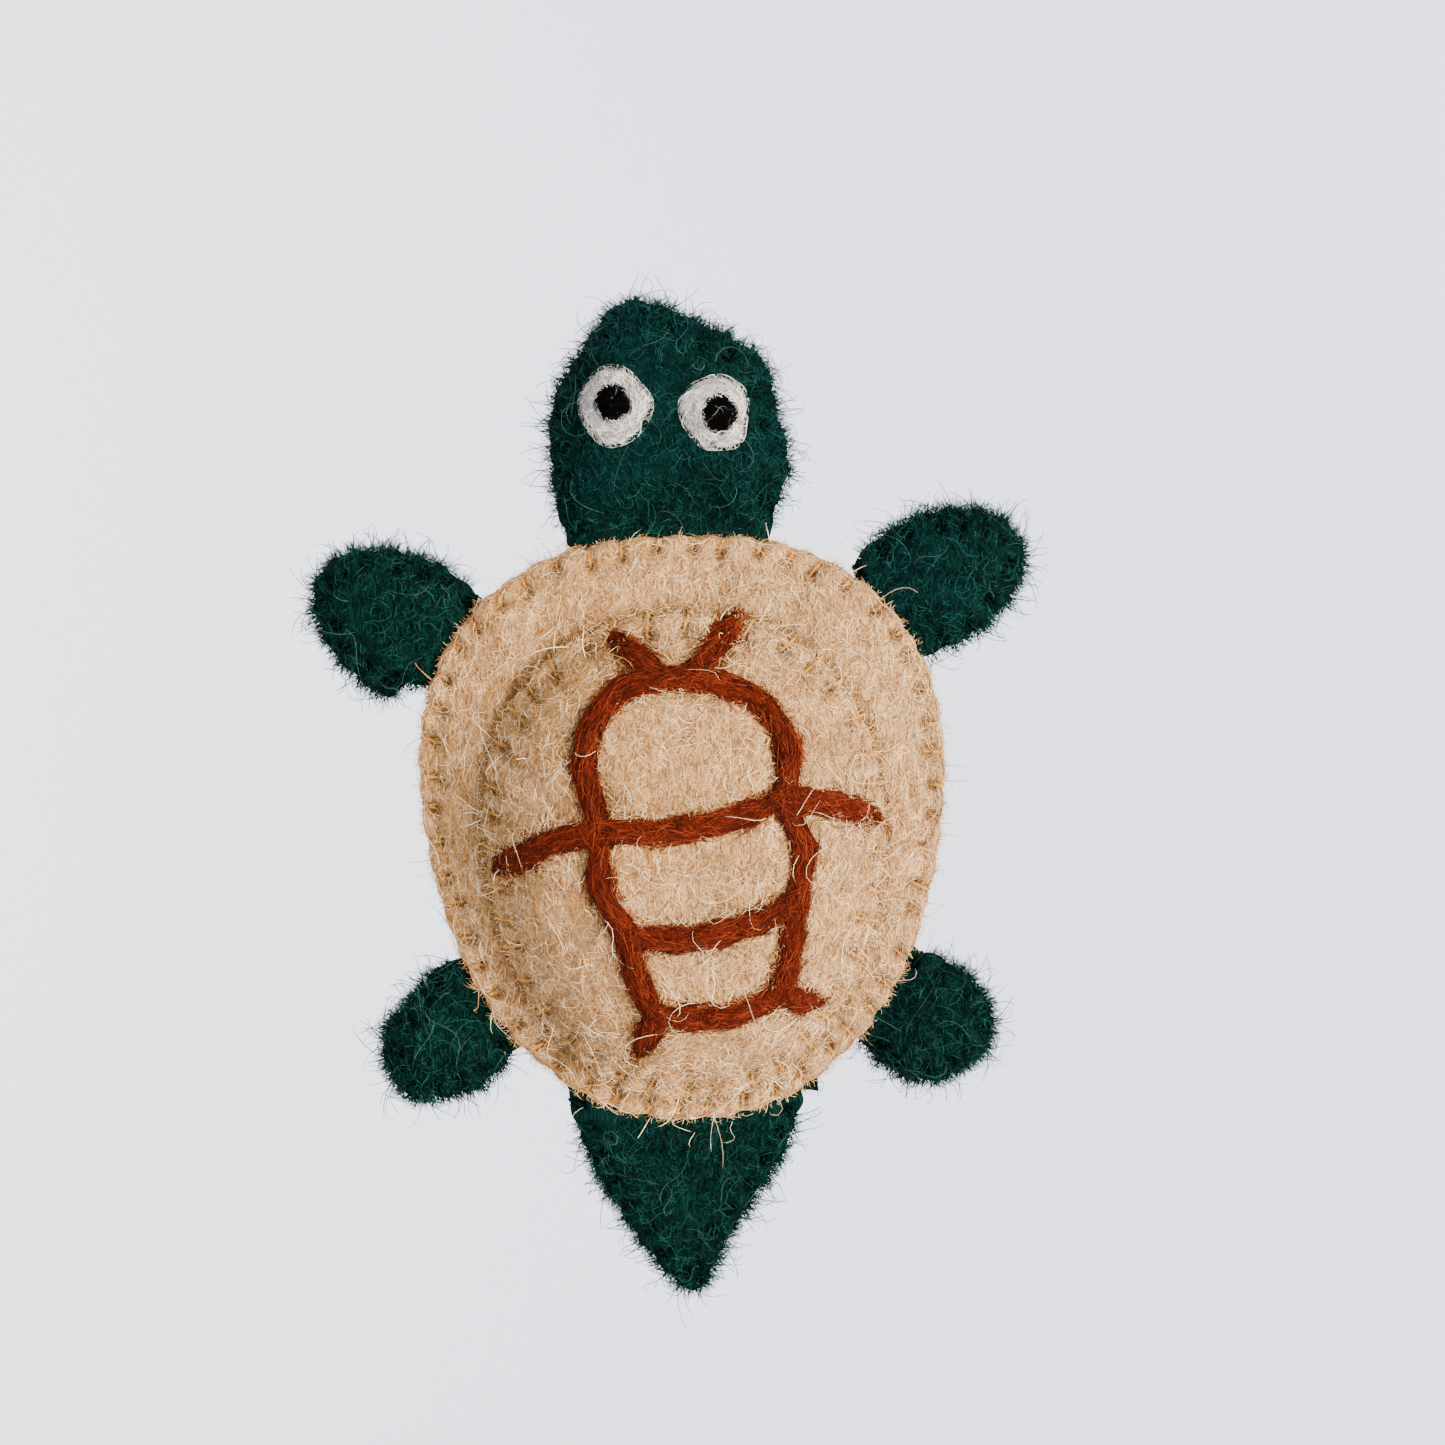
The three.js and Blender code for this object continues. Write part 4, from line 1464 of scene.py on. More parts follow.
@dataclass
class Eye:
    """A disc of white roving needled into the head, and a smaller black one on it."""

    cut: EyeCut
    head: Limb
    seat: Seat = Seat("head")

    def __post_init__(self) -> None:
        """Draws the two discs."""
        cut = self.cut
        self.white = Outline.disc(cut.white, cut.white_radius, 0.28, cut.seed, 96)
        self.pupil = Outline.disc(cut.pupil, cut.pupil_radius, 0.1, cut.seed + 5, 64)

    def white_front(self, x: Array, z: Array) -> Array:
        """How far the white's front stands from the seam plane: the head's own height plus a low lumpy dome.

        Args:
            x: Places across.
            z: Places up.

        Returns:
            Heights in millimetres.
        """
        share = np.minimum(self.white.share(x, z), 1)
        uneven = 0.09 * lumps(x, z, 1.5, self.cut.seed)
        dome = self.cut.white_height * np.maximum(1 - share**3.2, 0) ** 0.6
        return self.head.pouch.height(x, z, Side.FRONT, False) - 0.12 + dome + uneven * (1 - share**4)

    def pupil_front(self, x: Array, z: Array) -> Array:
        """How far the pupil's front stands from the seam plane: the white's height plus a low dome."""
        share = np.minimum(self.pupil.share(x, z), 1)
        return self.white_front(x, z) - 0.06 + self.cut.pupil_height * np.maximum(1 - share**2.6, 0) ** 0.6

    def build(self, shop: Workshop) -> None:
        """Makes the two discs and their fibres.

        Args:
            shop: Where pieces are made.
        """
        for part, outline, front, finish, fibre in (
            ("white", self.white, self.white_front, WHITE_WOOL, WHITE_FIBRES),
            ("pupil", self.pupil, self.pupil_front, BLACK_WOOL, BLACK_FIBRES),
        ):
            shape = polar_layer(outline, lambda x, z, share, distance: -front(x, z),
                                lambda x, z, share, distance: -(front(x, z) - 0.9 * np.sqrt(1 - share**2) - SEAM_GAP),
                                Side.FRONT, 16)
            label = f"eye_{part}_{self.cut.name}" if part == "white" else f"pupil_{self.cut.name}"
            shop.add(shape, f"{label}_wool", finish, finish.name.replace("_wool", ""), self.seat, label)
            shop.add(self.swirl(shape, outline, front, part), f"{label}_fibres", fibre,
                     finish.name.replace("_wool", ""), self.seat)

    def swirl(self, shape: Shape, outline: Outline, front: Surface, part: str) -> Shape:
        """Fibres that lie round the disc, as the needle leaves them, with a few that cross it.

        Args:
            shape: The disc.
            outline: Its edge.
            front: Its height over the seam plane.
            part: Which disc it is.

        Returns:
            The fibres.
        """
        rng = np.random.default_rng(self.cut.seed + (100 if part == "white" else 200))
        size = 1.0 if part == "white" else 0.5

        def settle(path: Array, over: Array) -> Array:
            """Lays points onto the disc, or past its edge onto what it is needled into."""
            x, z = outline.held(path[..., 0], path[..., 2], 1.07)
            ground = self.head.pouch.height(x, z, Side.FRONT) if part == "white" else self.white_front(x, z)
            return np.stack([x, -(np.where(outline.share(x, z) < 1.0, front(x, z), ground) + over), z], -1)

        shown = facing(Side.FRONT, lambda places: (np.abs(places[:, 1]) > 0).astype(float))
        grown = []
        for pile, spread in (
            (Pile(round(900 * size), (1.4, 3.6), (0.03, 0.35), (0.06, 0.1), 1.2, 0.2, 6, (0.0, 0.88)), 0.7),
            (Pile(round(120 * size), (0.4, 0.9), (0.1, 0.4), (0.05, 0.08), 1.0, 0.6, 3, (0.3, 0.9)), 1.5),
            (Pile(36 if part == "white" else 5, (2.0, 4.5), (0.1, 0.5), (0.05, 0.07), 2.6, 0.4, 8, (0.9, 1.0)), 1.5),
        ):
            roots, normals = scatter(shape, pile.count, rng, shown)
            from_middle = roots[:, [0, 2]] - outline.middle
            reach = np.maximum(np.linalg.norm(from_middle, axis=1), 0.6)
            grain = np.stack([-from_middle[:, 1], np.zeros(len(reach)), from_middle[:, 0]], 1)
            roots[:, [0, 2]] -= from_middle * 0.1
            grown.append(fibres(roots, normals, pile, rng, unit(grain + 1e-6), 1 / reach, spread, settle))
        if part == "pupil":
            pile = Pile(5, (1.6, 3.2), (0.1, 0.3), (0.04, 0.055), 1.6, 0.3, 6, (0.97, 1.0))
            roots, normals = scatter(shape, pile.count, rng, shown)
            grown.append(fibres(roots, normals, pile, rng, settle=settle))
        return pile_of(grown)


# ---- Shell, dome and roving ----


@dataclass
class Shell:
    """The tan pouch in the middle: a front and a back layer whip-stitched together over stuffing."""

    half_width: float = 24.7
    half_height: float = 28.2
    squareness: float = 2.25
    egg: float = 0.145
    middle: float = -0.2
    crowns: tuple[float, float] = (4.0, 3.0)
    pitch: float = 3.3
    bite: float = 1.7
    thread: float = 0.19
    seed: int = 11
    seat: Seat = Seat("shell")

    def __post_init__(self) -> None:
        """Cuts and sews the shell."""
        self.outline = Outline.egg(self.half_width, self.half_height, self.squareness, self.egg, self.middle, 420)
        stitches = Stitches.along(self.outline, self.pitch, self.bite, self.seed)
        self.pouch = Pouch(stitches.pinched(self.outline, 0.35), stitches, self.crowns, self.seed, part=self.roots,
                           pull=0.75, lump=0.24)

    def roots(self, x: Array, z: Array) -> Array:
        """How far the layers stand open to let every limb's root in."""
        return sum(cut.root.room(x, z) * (0.7 if cut.name == "tail" else 1.0) for cut in LIMBS)

    def plain_front(self, x: Array, z: Array) -> Array:
        """How far the front stands from the seam plane, without grooves and lumps."""
        return self.pouch.height(x, z, Side.FRONT, False)

    def build(self, shop: Workshop, coat: Coat, dome: "Dome") -> None:
        """Makes the shell's pieces.

        Args:
            shop: Where pieces are made.
            coat: The fibres of the front. The back's are fewer.
            dome: What hides the front's middle, where no fibres grow.
        """
        filling = shop.add(self.pouch.stuffing(0.93, 20), "shell_stuffing", STUFFING_WOOL, "wool_filling", self.seat,
                           "shell_filling")
        for side, place in ((Side.FRONT, "front"), (Side.BACK, "back")):
            shape = self.pouch.layer(side, 48)
            shade_stitch_hollows(shape, self.pouch.stitches, side)
            if side is Side.FRONT:
                # Painted shade: a dark band on the shell's front round the dome's edge, where the dome's step shades
                # it.
                share = dome.outline.share(shape.points[:, 0], shape.points[:, 2])
                shape.tint = np.maximum(shape.tint, 0.8 * np.exp(-(((share - 1.0) / 0.06) ** 2)))
            layer = shop.add(shape, f"shell_{place}_felt", TAN_FELT, "tan_felt", self.seat, f"shell_{place}")
            shop.sheet(self.pouch.outline)
            shown = dome.bare if side is Side.FRONT else pocket_bare
            worn = coat if side is Side.FRONT else coat.thinned(0.6)
            grown = worn.grow(shape, 110 + side.value, facing(side, shown),
                              lambda path, over: self.pouch.settled(path, over, side))
            shop.add(grown, f"shell_{place}_fibres", coat.finish, coat.slot, self.seat)
        shop.add(self.pouch.thread(self.thread), "shell_whip_stitches", OCHRE_THREAD, "ochre_thread", self.seat,
                 "shell_seam_thread")


@dataclass
class Dome:
    """A smaller tan layer sewn down onto the shell's front, over stuffing of its own."""

    shell: Shell
    half_width: float = 18.8
    half_height: float = 23.4
    squareness: float = 2.2
    egg: float = 0.1
    middle: float = -2.6
    rise: float = 5.65
    power: float = 3.2
    fullness: float = 0.8
    pitch: float = 3.4
    bite: float = 1.7
    thread: float = 0.18
    seed: int = 21
    seat: Seat = Seat("shell")

    def __post_init__(self) -> None:
        """Cuts the dome and places its stitches."""
        outline = Outline.egg(self.half_width, self.half_height, self.squareness, self.egg, self.middle, 384)
        self.stitches = Stitches.along(outline, self.pitch, self.bite, self.seed)
        self.outline = self.stitches.pinched(outline, 0.5)

    def lift(self, share: Array) -> Array:
        """Returns how far the stuffing lifts the layer off the shell."""
        return 0.12 + self.rise * swell(share, self.power, self.fullness)

    def front(self, x: Array, z: Array, lies: tuple[Array, Array] | None = None) -> Array:
        """How far the dome's front stands from the seam plane.

        Args:
            x: Places across.
            z: Places up.
            lies: What Outline.inside says of the places, where that is known.

        Returns:
            Heights in millimetres.
        """
        share, distance = lies or self.outline.inside(x, z)
        total = self.shell.plain_front(x, z) + FELT * rounded_edge(distance * 1.6) + self.lift(share)
        total = total - 0.8 * self.stitches.groove(x, z, Side.FRONT) * np.minimum(0.35 + distance, 1)
        uneven = 0.22 * lumps(x, z, 7.5, 23) + 0.06 * lumps(x, z, 1.8, 24)
        return total + np.minimum(distance / LUMP_FADE, 1) * uneven

    def bare(self, places: Array) -> Array:
        """Returns which places of the shell's front the dome leaves bare."""
        return (self.outline.share(places[:, 0], places[:, 2]) > 1.02).astype(float)

    def settled(self, path: Array, over: Array) -> Array:
        """Lays points of fibres onto the dome at those heights, and draws those past its edge back onto it."""
        x, z = self.outline.held(path[..., 0], path[..., 2], 0.994)
        return np.stack([x, -(self.front(x, z) + over), z], -1)

    def build(self, shop: Workshop, coat: Coat) -> None:
        """Makes the dome's pieces.

        Args:
            shop: Where pieces are made.
            coat: The fibres of each half.
        """
        shape = polar_layer(self.outline, lambda x, z, *lies: -self.front(x, z, lies),
                            lambda x, z, share, distance: -(self.shell.plain_front(x, z) + self.lift(share) - 0.08),
                            Side.FRONT, 60)
        shade_stitch_hollows(shape, self.stitches, Side.FRONT)
        filling = polar_layer(
            Outline(self.outline.middle + DOME_FILL * (self.outline.points[::2] - self.outline.middle),
                    self.outline.middle),
            lambda x, z, share, distance: -(self.shell.plain_front(x, z) + self.lump(x, z, share)),
            lambda x, z, share, distance: -(self.shell.plain_front(x, z) + 0.3 * self.lump(x, z, share) * share**2),
            Side.FRONT, 20)
        stuffing = shop.add(filling, "dome_stuffing", STUFFING_WOOL, "wool_filling", self.seat, "dome_filling")
        layer = shop.add(shape, "dome_top_felt", TAN_FELT, "tan_felt", self.seat, "dome_felt")
        shop.sheet(self.outline)
        for half, sign in (("left", -1), ("right", 1)):
            shown = facing(Side.FRONT, lambda places: (places[:, 0] * sign > 0).astype(float))
            grown = coat.grow(shape, 210 + sign, shown, self.settled)
            shop.add(grown, f"dome_{half}_fibres", coat.finish, coat.slot, self.seat)
        shop.add(self.threads(), "dome_whip_stitches", OCHRE_THREAD, "ochre_thread", self.seat,
                 "dome_seam_thread")

    def lump(self, x: Array, z: Array, share: Array) -> Array:
        """Returns how far the dome's stuffing stands off the shell: 0.3 mm short of the felt."""
        uneven = 0.12 * lumps(x, z, 4, 29)
        return np.maximum(self.lift(share * DOME_FILL) - 0.45 + uneven, 0.06) * rounded_edge((1 - share) * 15)

    def threads(self) -> Shape:
        """The stitches, each from its bite in the dome over the edge and down into the shell.

        Each step has its share of the way from the bite to the edge, what it lies on, and how many radii it stands
        off that.

        Returns:
            One tube for each stitch.
        """
        edge, bite = self.stitches.edge, self.stitches.bite
        steps = []
        for share, ground, proud in (
            (-0.12, self.front, -0.5), (0.15, self.front, 0.55), (0.5, self.front, 0.55), (0.85, self.front, 0.6),
            (1.1, self.shell.plain_front, 3.0), (1.22, self.shell.plain_front, 1.2),
            (1.4, self.shell.plain_front, -0.8),
        ):
            place = bite + share * (edge - bite)
            steps.append((place, -(ground(*place.T) + self.thread * proud)))
        return sewn(steps, self.thread)


STRANDS = [
    [(-6.5, 18.7), (-4.4, 17.4), (-1.6, 15.2)],
    [(5.7, 20.1), (3.4, 17.4), (0.8, 15.2)],
    [(-7.6, 1.8), (-9.0, 7.2), (-8.2, 10.9), (-5.7, 13.9), (-1.8, 15.0), (3.2, 14.6), (6.9, 12.9), (9.3, 9.7),
     (9.8, 6.5), (8.9, 3.4)],
    [(-17.8, -2.8), (-11.8, 0.5), (-7.4, 1.4)],
    [(-7.4, 1.4), (-1.0, 1.4), (5.3, 2.5), (9.2, 4.0)],
    [(9.2, 4.0), (14.2, 2.7), (18.2, 0.7)],
    [(-7.4, 1.4), (-8.0, -1.6), (-7.5, -4.8), (-5.8, -8.2), (-5.0, -12.0), (-3.4, -16.0)],
    [(9.0, 3.6), (10.9, -1.0), (10.1, -5.8), (9.3, -11.0), (8.2, -14.8)],
    [(-5.6, -8.6), (-0.1, -8.8), (6.2, -7.5), (10.1, -5.6)],
    [(-3.4, -16.0), (2.2, -16.6), (6.7, -15.5), (8.4, -14.4)],
    [(-3.2, -16.2), (-5.0, -20.3)],
    [(8.0, -14.8), (12.2, -16.3)],
]


@dataclass
class Roving:
    """The brown wool needle-felted onto the dome as lines: a ring, two feelers, arms, sides, bars and feet."""

    dome: Dome
    half_width: float = 1.2
    thickness: float = 0.85
    voxel: float = 0.24
    seat: Seat = Seat("shell")

    def __post_init__(self) -> None:
        """Draws the strands' middle lines."""
        self.lines = [smooth_line(strand, max(10, round(strand_length(strand) / 0.5))) for strand in STRANDS]

    def strand(self, line: Array, seed: int) -> Shape:
        """One strand: an oval tube that swells and thins along its line, half sunk in the felt.

        Args:
            line: Its middle line.
            seed: Which lumps it has.

        Returns:
            The closed tube.
        """
        along = unit(np.gradient(line, axis=0))
        across = np.stack([along[:, 1], -along[:, 0]], 1)
        run = np.linspace(0, len(line) * 0.5, len(line))[:, None]
        ends = np.minimum(np.minimum(run, run[::-1]) / 1.2, 1)[:, 0]
        wide = self.half_width * (0.72 + 0.28 * np.sqrt(ends)) * (1 + 0.16 * waves(run, 4.5, seed))
        high = self.thickness * (0.6 + 0.4 * ends) * (1 + 0.16 * waves(run, 3.2, seed + 1))
        turn = np.arange(14) / 14 * math.tau
        place = line[:, None] + across[:, None] * (np.cos(turn) * wide[:, None])[..., None]
        base = self.dome.front(line[:, 0], line[:, 1])[:, None] * 0.5 + 0.5 * self.dome.front(place[..., 0],
                                                                                            place[..., 1])
        y = -(base + np.sin(turn) * high[:, None] - 0.12)
        ring = np.stack([place[..., 0], y, place[..., 1]], -1)
        steps, sides = ring.shape[:2]
        tips = [ring[0].mean(0) - [along[0, 0] * 0.7, 0, along[0, 1] * 0.7],
                ring[-1].mean(0) + [along[-1, 0] * 0.7, 0, along[-1, 1] * 0.7]]
        size = steps * sides
        caps = np.concatenate([fan(size, 0, sides), fan(size + 1, size - sides, sides)[:, ::-1]])
        return Shape(np.concatenate([ring.reshape(-1, 3), tips]), ring_quads(steps, sides)[:, ::-1], caps)

    def felted(self) -> Shape:
        """Returns all the strands as one skin with no inner faces, melted together where they cross."""
        rough = joined([self.strand(line, 300 + 3 * k) for k, line in enumerate(self.lines)])
        return remeshed(rough, self.voxel, 5)

    def grain(self, places: Array) -> tuple[Array, Array]:
        """Finds how the nearest strand runs.

        Args:
            places: Places on the wool.

        Returns:
            Its direction at each place, and how much it turns for each millimetre.
        """
        lines = np.concatenate(self.lines)
        along = np.concatenate([unit(np.gradient(line, axis=0)) for line in self.lines])
        turn = np.concatenate([np.gradient(np.unwrap(np.arctan2(*unit(np.gradient(line, axis=0)).T[::-1]))) / 0.5
                               for line in self.lines])
        nearest = ((places[:, None, [0, 2]] - lines[None]) ** 2).sum(-1).argmin(1)
        direction = np.stack([along[nearest, 0], np.zeros(len(nearest)), along[nearest, 1]], 1)
        return direction, np.clip(turn[nearest], -0.25, 0.25)

    def build(self, shop: Workshop) -> None:
        """Makes the roving and its fibres, which follow the lines and stray over the tan felt.

        Args:
            shop: Where pieces are made.
        """
        skin = self.felted()
        skin.tint = 0.35 * np.clip(waves(skin.points[:, [0, 2]], 1.3, 77), 0, 1)
        shop.add(skin, "roving_wool", ROVING_WOOL, "brown_roving", self.seat, "roving_lines")
        rng = np.random.default_rng(78)
        shown = facing(Side.FRONT, lambda places: np.ones(len(places)))
        settle = laid_over(skin, self.dome)
        grown = []
        for pile, spread, laid in (
            (Pile(4000, (2.0, 5.0), (0.03, 0.35), (0.06, 0.1), 0.7, 0.2, 4, (0.0, 0.88)), 0.2, settle),
            (Pile(900, (0.6, 1.6), (0.15, 0.6), (0.06, 0.09), 1.2, 0.7, 3, (0.1, 0.9)), 1.2, None),
            (Pile(560, (1.6, 4.2), (0.1, 0.6), (0.045, 0.07), 2.4, 0.4, 6, (0.3, 0.92)), 0.8, settle),
        ):
            roots, normals = scatter(skin, pile.count, rng, shown)
            direction, turn = self.grain(roots)
            way = rng.choice([-1.0, 1.0], len(roots))
            grown.append(fibres(roots, normals, pile, rng, direction * way[:, None], turn * way, spread, laid))
        shop.add(pile_of(grown), "roving_fibres", ROVING_FIBRES, "brown_roving", self.seat)


def strand_length(strand: list[tuple[float, float]]) -> float:
    """Returns the length of the straight steps through a strand's points."""
    return float(np.linalg.norm(np.diff(np.array(strand), axis=0), axis=1).sum())


def laid_over(skin: Shape, dome: Dome) -> Settle:
    """Makes what lays fibres onto the roving where there is some, and onto the dome elsewhere.

    The roving's height over the dome is stored on a grid, 0.25 mm apart, and read back at the nearest place.

    Args:
        skin: The roving.
        dome: What it lies on.

    Returns:
        A function of points and heights.
    """
    step, low = 0.25, np.array([-24.0, -26.0])
    cells = np.zeros((200, 200))
    above = -skin.points[:, 1] - dome.front(skin.points[:, 0], skin.points[:, 2])
    at = ((skin.points[:, [0, 2]] - low) / step).astype(int)
    np.maximum.at(cells, (at[:, 0], at[:, 1]), above)
    for axis in (0, 1):
        cells = np.maximum(cells, (np.roll(cells, 1, axis) + np.roll(cells, -1, axis)) / 2)

    def settle(path: Array, over: Array) -> Array:
        """Lays points onto whichever of the two stands higher."""
        x, z = path[..., 0], path[..., 2]
        i, j = (np.clip(((value - edge) / step).astype(int), 0, 199) for value, edge in zip((x, z), low))
        return np.stack([x, -(dome.front(x, z) + cells[i, j] + over), z], -1)

    return settle


def remeshed(shape: Shape, voxel: float, smoothing: int) -> Shape:
    """Wraps a shape in one even skin without inner faces.

    Args:
        shape: One or more closed bodies.
        voxel: The new faces' size.
        smoothing: How often each point moves to the mean of its neighbours.

    Returns:
        The skin.
    """
    mesh = bpy.data.meshes.new("rough")
    mesh.from_pydata(shape.points.tolist(), [], shape.quads.tolist() + shape.triangles.tolist())
    rough = bpy.data.objects.new("rough", mesh)
    bpy.context.scene.collection.objects.link(rough)
    remesh = rough.modifiers.new("skin", "REMESH")
    remesh.mode, remesh.voxel_size = "VOXEL", voxel
    smooth = rough.modifiers.new("soften", "SMOOTH")
    smooth.iterations, smooth.factor = smoothing, 0.5
    skin = bpy.data.meshes.new_from_object(rough.evaluated_get(bpy.context.evaluated_depsgraph_get()))
    points = np.zeros(len(skin.vertices) * 3)
    skin.vertices.foreach_get("co", points)
    corners = np.zeros(len(skin.loops), int)
    skin.loops.foreach_get("vertex_index", corners)
    bpy.data.objects.remove(rough)
    bpy.data.meshes.remove(mesh)
    bpy.data.meshes.remove(skin)
    return Shape(points.reshape(-1, 3), corners.reshape(-1, 4))


# ---- Finger pocket ----


@dataclass
class Pocket:
    """An arch of green felt sewn to the shell's back at both sides and its top, open at the bottom for a finger."""

    shell: Shell
    low: float = -26.0
    tall: float = 36.0
    half_width: float = 12.0
    finger: float = 8.8
    depth: float = 12.6
    power: float = 2.4
    outer_limit: float = 17.0
    thread: float = 0.22
    seat: Seat = Seat("shell")

    def half_at(self, t: Array) -> Array:
        """Returns half the sewn width at each share of the way up: straight sides under a rounded top."""
        return self.half_width * np.sqrt(1 - (np.maximum(0, t - 0.7) / 0.33) ** 2)

    def surface(self, thickness: float, detail: float) -> Array:
        """One side of the arch, row by row from the mouth up.

        A row runs along the flange, over the arch and along the other flange. The arch is a superellipse whose
        width and depth shrink towards the top.

        Args:
            thickness: How far outside the inner side it lies.
            detail: How lumpy it is.

        Returns:
            Points, as row, place in the row, coordinate.
        """
        rows, across, flange = 84, 96, 12
        t = np.linspace(0, 1, rows)[:, None]
        z = self.low + self.tall * t
        half = self.half_at(t)
        arch = self.finger * (1 - 0.55 * t**4) + thickness * 0.8
        depth = self.depth * (1 - t**3) ** 0.6
        arch = np.minimum(arch, half - 1.0)
        turn = np.linspace(math.pi, 0, across)[None]
        power = 2 / self.power
        x_arch = arch * np.sign(np.cos(turn)) * np.abs(np.cos(turn)) ** power
        y_arch = depth * np.abs(np.sin(turn)) ** power
        out = np.linspace(0, 1, flange, endpoint=False)[None]
        x_left = -half + (half - arch) * out
        x = np.concatenate([x_left, x_arch, -x_left[:, ::-1]], 1)
        y = np.concatenate([np.zeros_like(x_left), y_arch, np.zeros_like(x_left)], 1)
        z = np.broadcast_to(z, x.shape)
        edge = np.minimum(half - np.abs(x), self.tall * (1 - t))
        base = self.shell.pouch.height(x, z, Side.BACK, False) + 0.12
        uneven = detail * (0.2 * lumps(x, z, 7.0, 91) + 0.05 * lumps(x, z, 1.8, 92))
        y = base + y + thickness * rounded_edge(np.maximum(edge, 0)) + uneven * np.minimum(np.maximum(edge, 0) / 3, 1)
        limit = self.outer_limit - (FELT - thickness) - 0.25
        y = -np.logaddexp(-y / 0.5, -limit / 0.5) * 0.5
        return np.stack([x, y, z], -1)

    def shape(self) -> Shape:
        """Returns the felt as a closed sheet, its two sides joined all round."""
        outer, inner = self.surface(FELT, 1.0), self.surface(0.0, 0.0)
        rows, across, _ = outer.shape
        mouth = (outer[0] + inner[0]) / 2 + [0, 0, -0.35]
        r, i = np.meshgrid(np.arange(rows - 1), np.arange(across - 1), indexing="ij")
        a = r * across + i
        near = np.stack([a, a + across, a + across + 1, a + 1], -1).reshape(-1, 4)
        size = rows * across
        far = near[:, ::-1] + size
        lip = 2 * size + np.arange(across)
        i = np.arange(across - 1)
        bottom = np.concatenate([np.stack([lip[i], i, i + 1, lip[i + 1]], 1),
                                 np.stack([lip[i + 1], size + i + 1, size + i, lip[i]], 1)])
        top = (rows - 1) * across + i
        upper = np.stack([top, size + top, size + top + 1, top + 1], 1)
        j = np.arange(rows - 1) * across
        left = np.stack([j, size + j, size + j + across, j + across], 1)
        right = np.stack([j + across - 1, j + 2 * across - 1, size + j + 2 * across - 1, size + j + across - 1], 1)
        corners = np.array([[0, lip[0], size], [across - 1, size + across - 1, lip[-1]]])
        return Shape(np.concatenate([outer.reshape(-1, 3), inner.reshape(-1, 3), mouth]),
                     np.concatenate([near, far, bottom, upper, left, right]), corners)

    def build(self, shop: Workshop, coat: Coat) -> None:
        """Makes the pocket, its stitches and its fibres.

        Args:
            shop: Where pieces are made.
            coat: Its fibres.
        """
        shape = self.shape()
        edge = self.sewn_edge()
        gap = np.linalg.norm(shape.points[:, None, [0, 2]] - edge, axis=2).min(1)
        # Painted shade: the felt darkens round each stitch of the sewn edge.
        shape.tint = 0.8 * np.exp(-((gap / 0.9) ** 2))
        layer = shop.add(shape, "finger_pocket_felt", GREEN_FELT, "green_felt", self.seat, "finger_pocket")
        outer = self.surface(FELT, 0.0)[0]
        width = float(np.linalg.norm(np.diff(outer, axis=0), axis=1).sum()) * MM
        shop.add(coat.grow(shape, 95, self.shown), "finger_pocket_fibres", coat.finish, coat.slot, self.seat)
        shop.add(self.threads(edge), "finger_pocket_stitches", GREEN_THREAD, "green_thread", self.seat,
                 "pocket_thread")

    def shown(self, places: Array, normals: Array) -> Array:
        """Returns which places stand clear of the shell's back and face outwards, where fibres show."""
        back = self.shell.pouch.height(places[:, 0], places[:, 2], Side.BACK, False)
        return ((places[:, 1] > back) & (normals[:, 1] > -0.5)).astype(float)

    def sewn_edge(self) -> Array:
        """Returns the places of the stitches: up one side, over the top and down the other."""
        t = np.linspace(0, 1, 200)
        side = np.stack([self.half_at(t), self.low + self.tall * t], 1)
        line = np.concatenate([side * [-1, 1], side[::-1]])
        return even_steps(line, 29)[1:-1]

    def threads(self, edge: Array) -> Shape:
        """Sews the pocket's edge down.

        Args:
            edge: Where the stitches are.

        Returns:
            One tube for each stitch.
        """
        along = unit(np.gradient(edge, axis=0))
        inward = np.stack([along[:, 1], -along[:, 0]], 1)
        steps = []
        for share, proud in ((1.9, 0.9), (1.5, 1.62), (0.9, 1.62), (0.3, 1.35), (-0.2, 0.7), (-0.7, 0.1)):
            place = edge + inward * share + along * 0.25 * share
            steps.append((place, self.shell.pouch.height(*place.T, Side.BACK, False) + proud))
        return sewn(steps, self.thread)


def pocket_bare(places: Array) -> Array:
    """Returns which places of the shell's back the pocket leaves bare."""
    inside = (np.abs(places[:, 0]) < 10.5) & (places[:, 2] > -24) & (places[:, 2] < 8)
    return 1 - inside.astype(float)


# ---- Studio ----


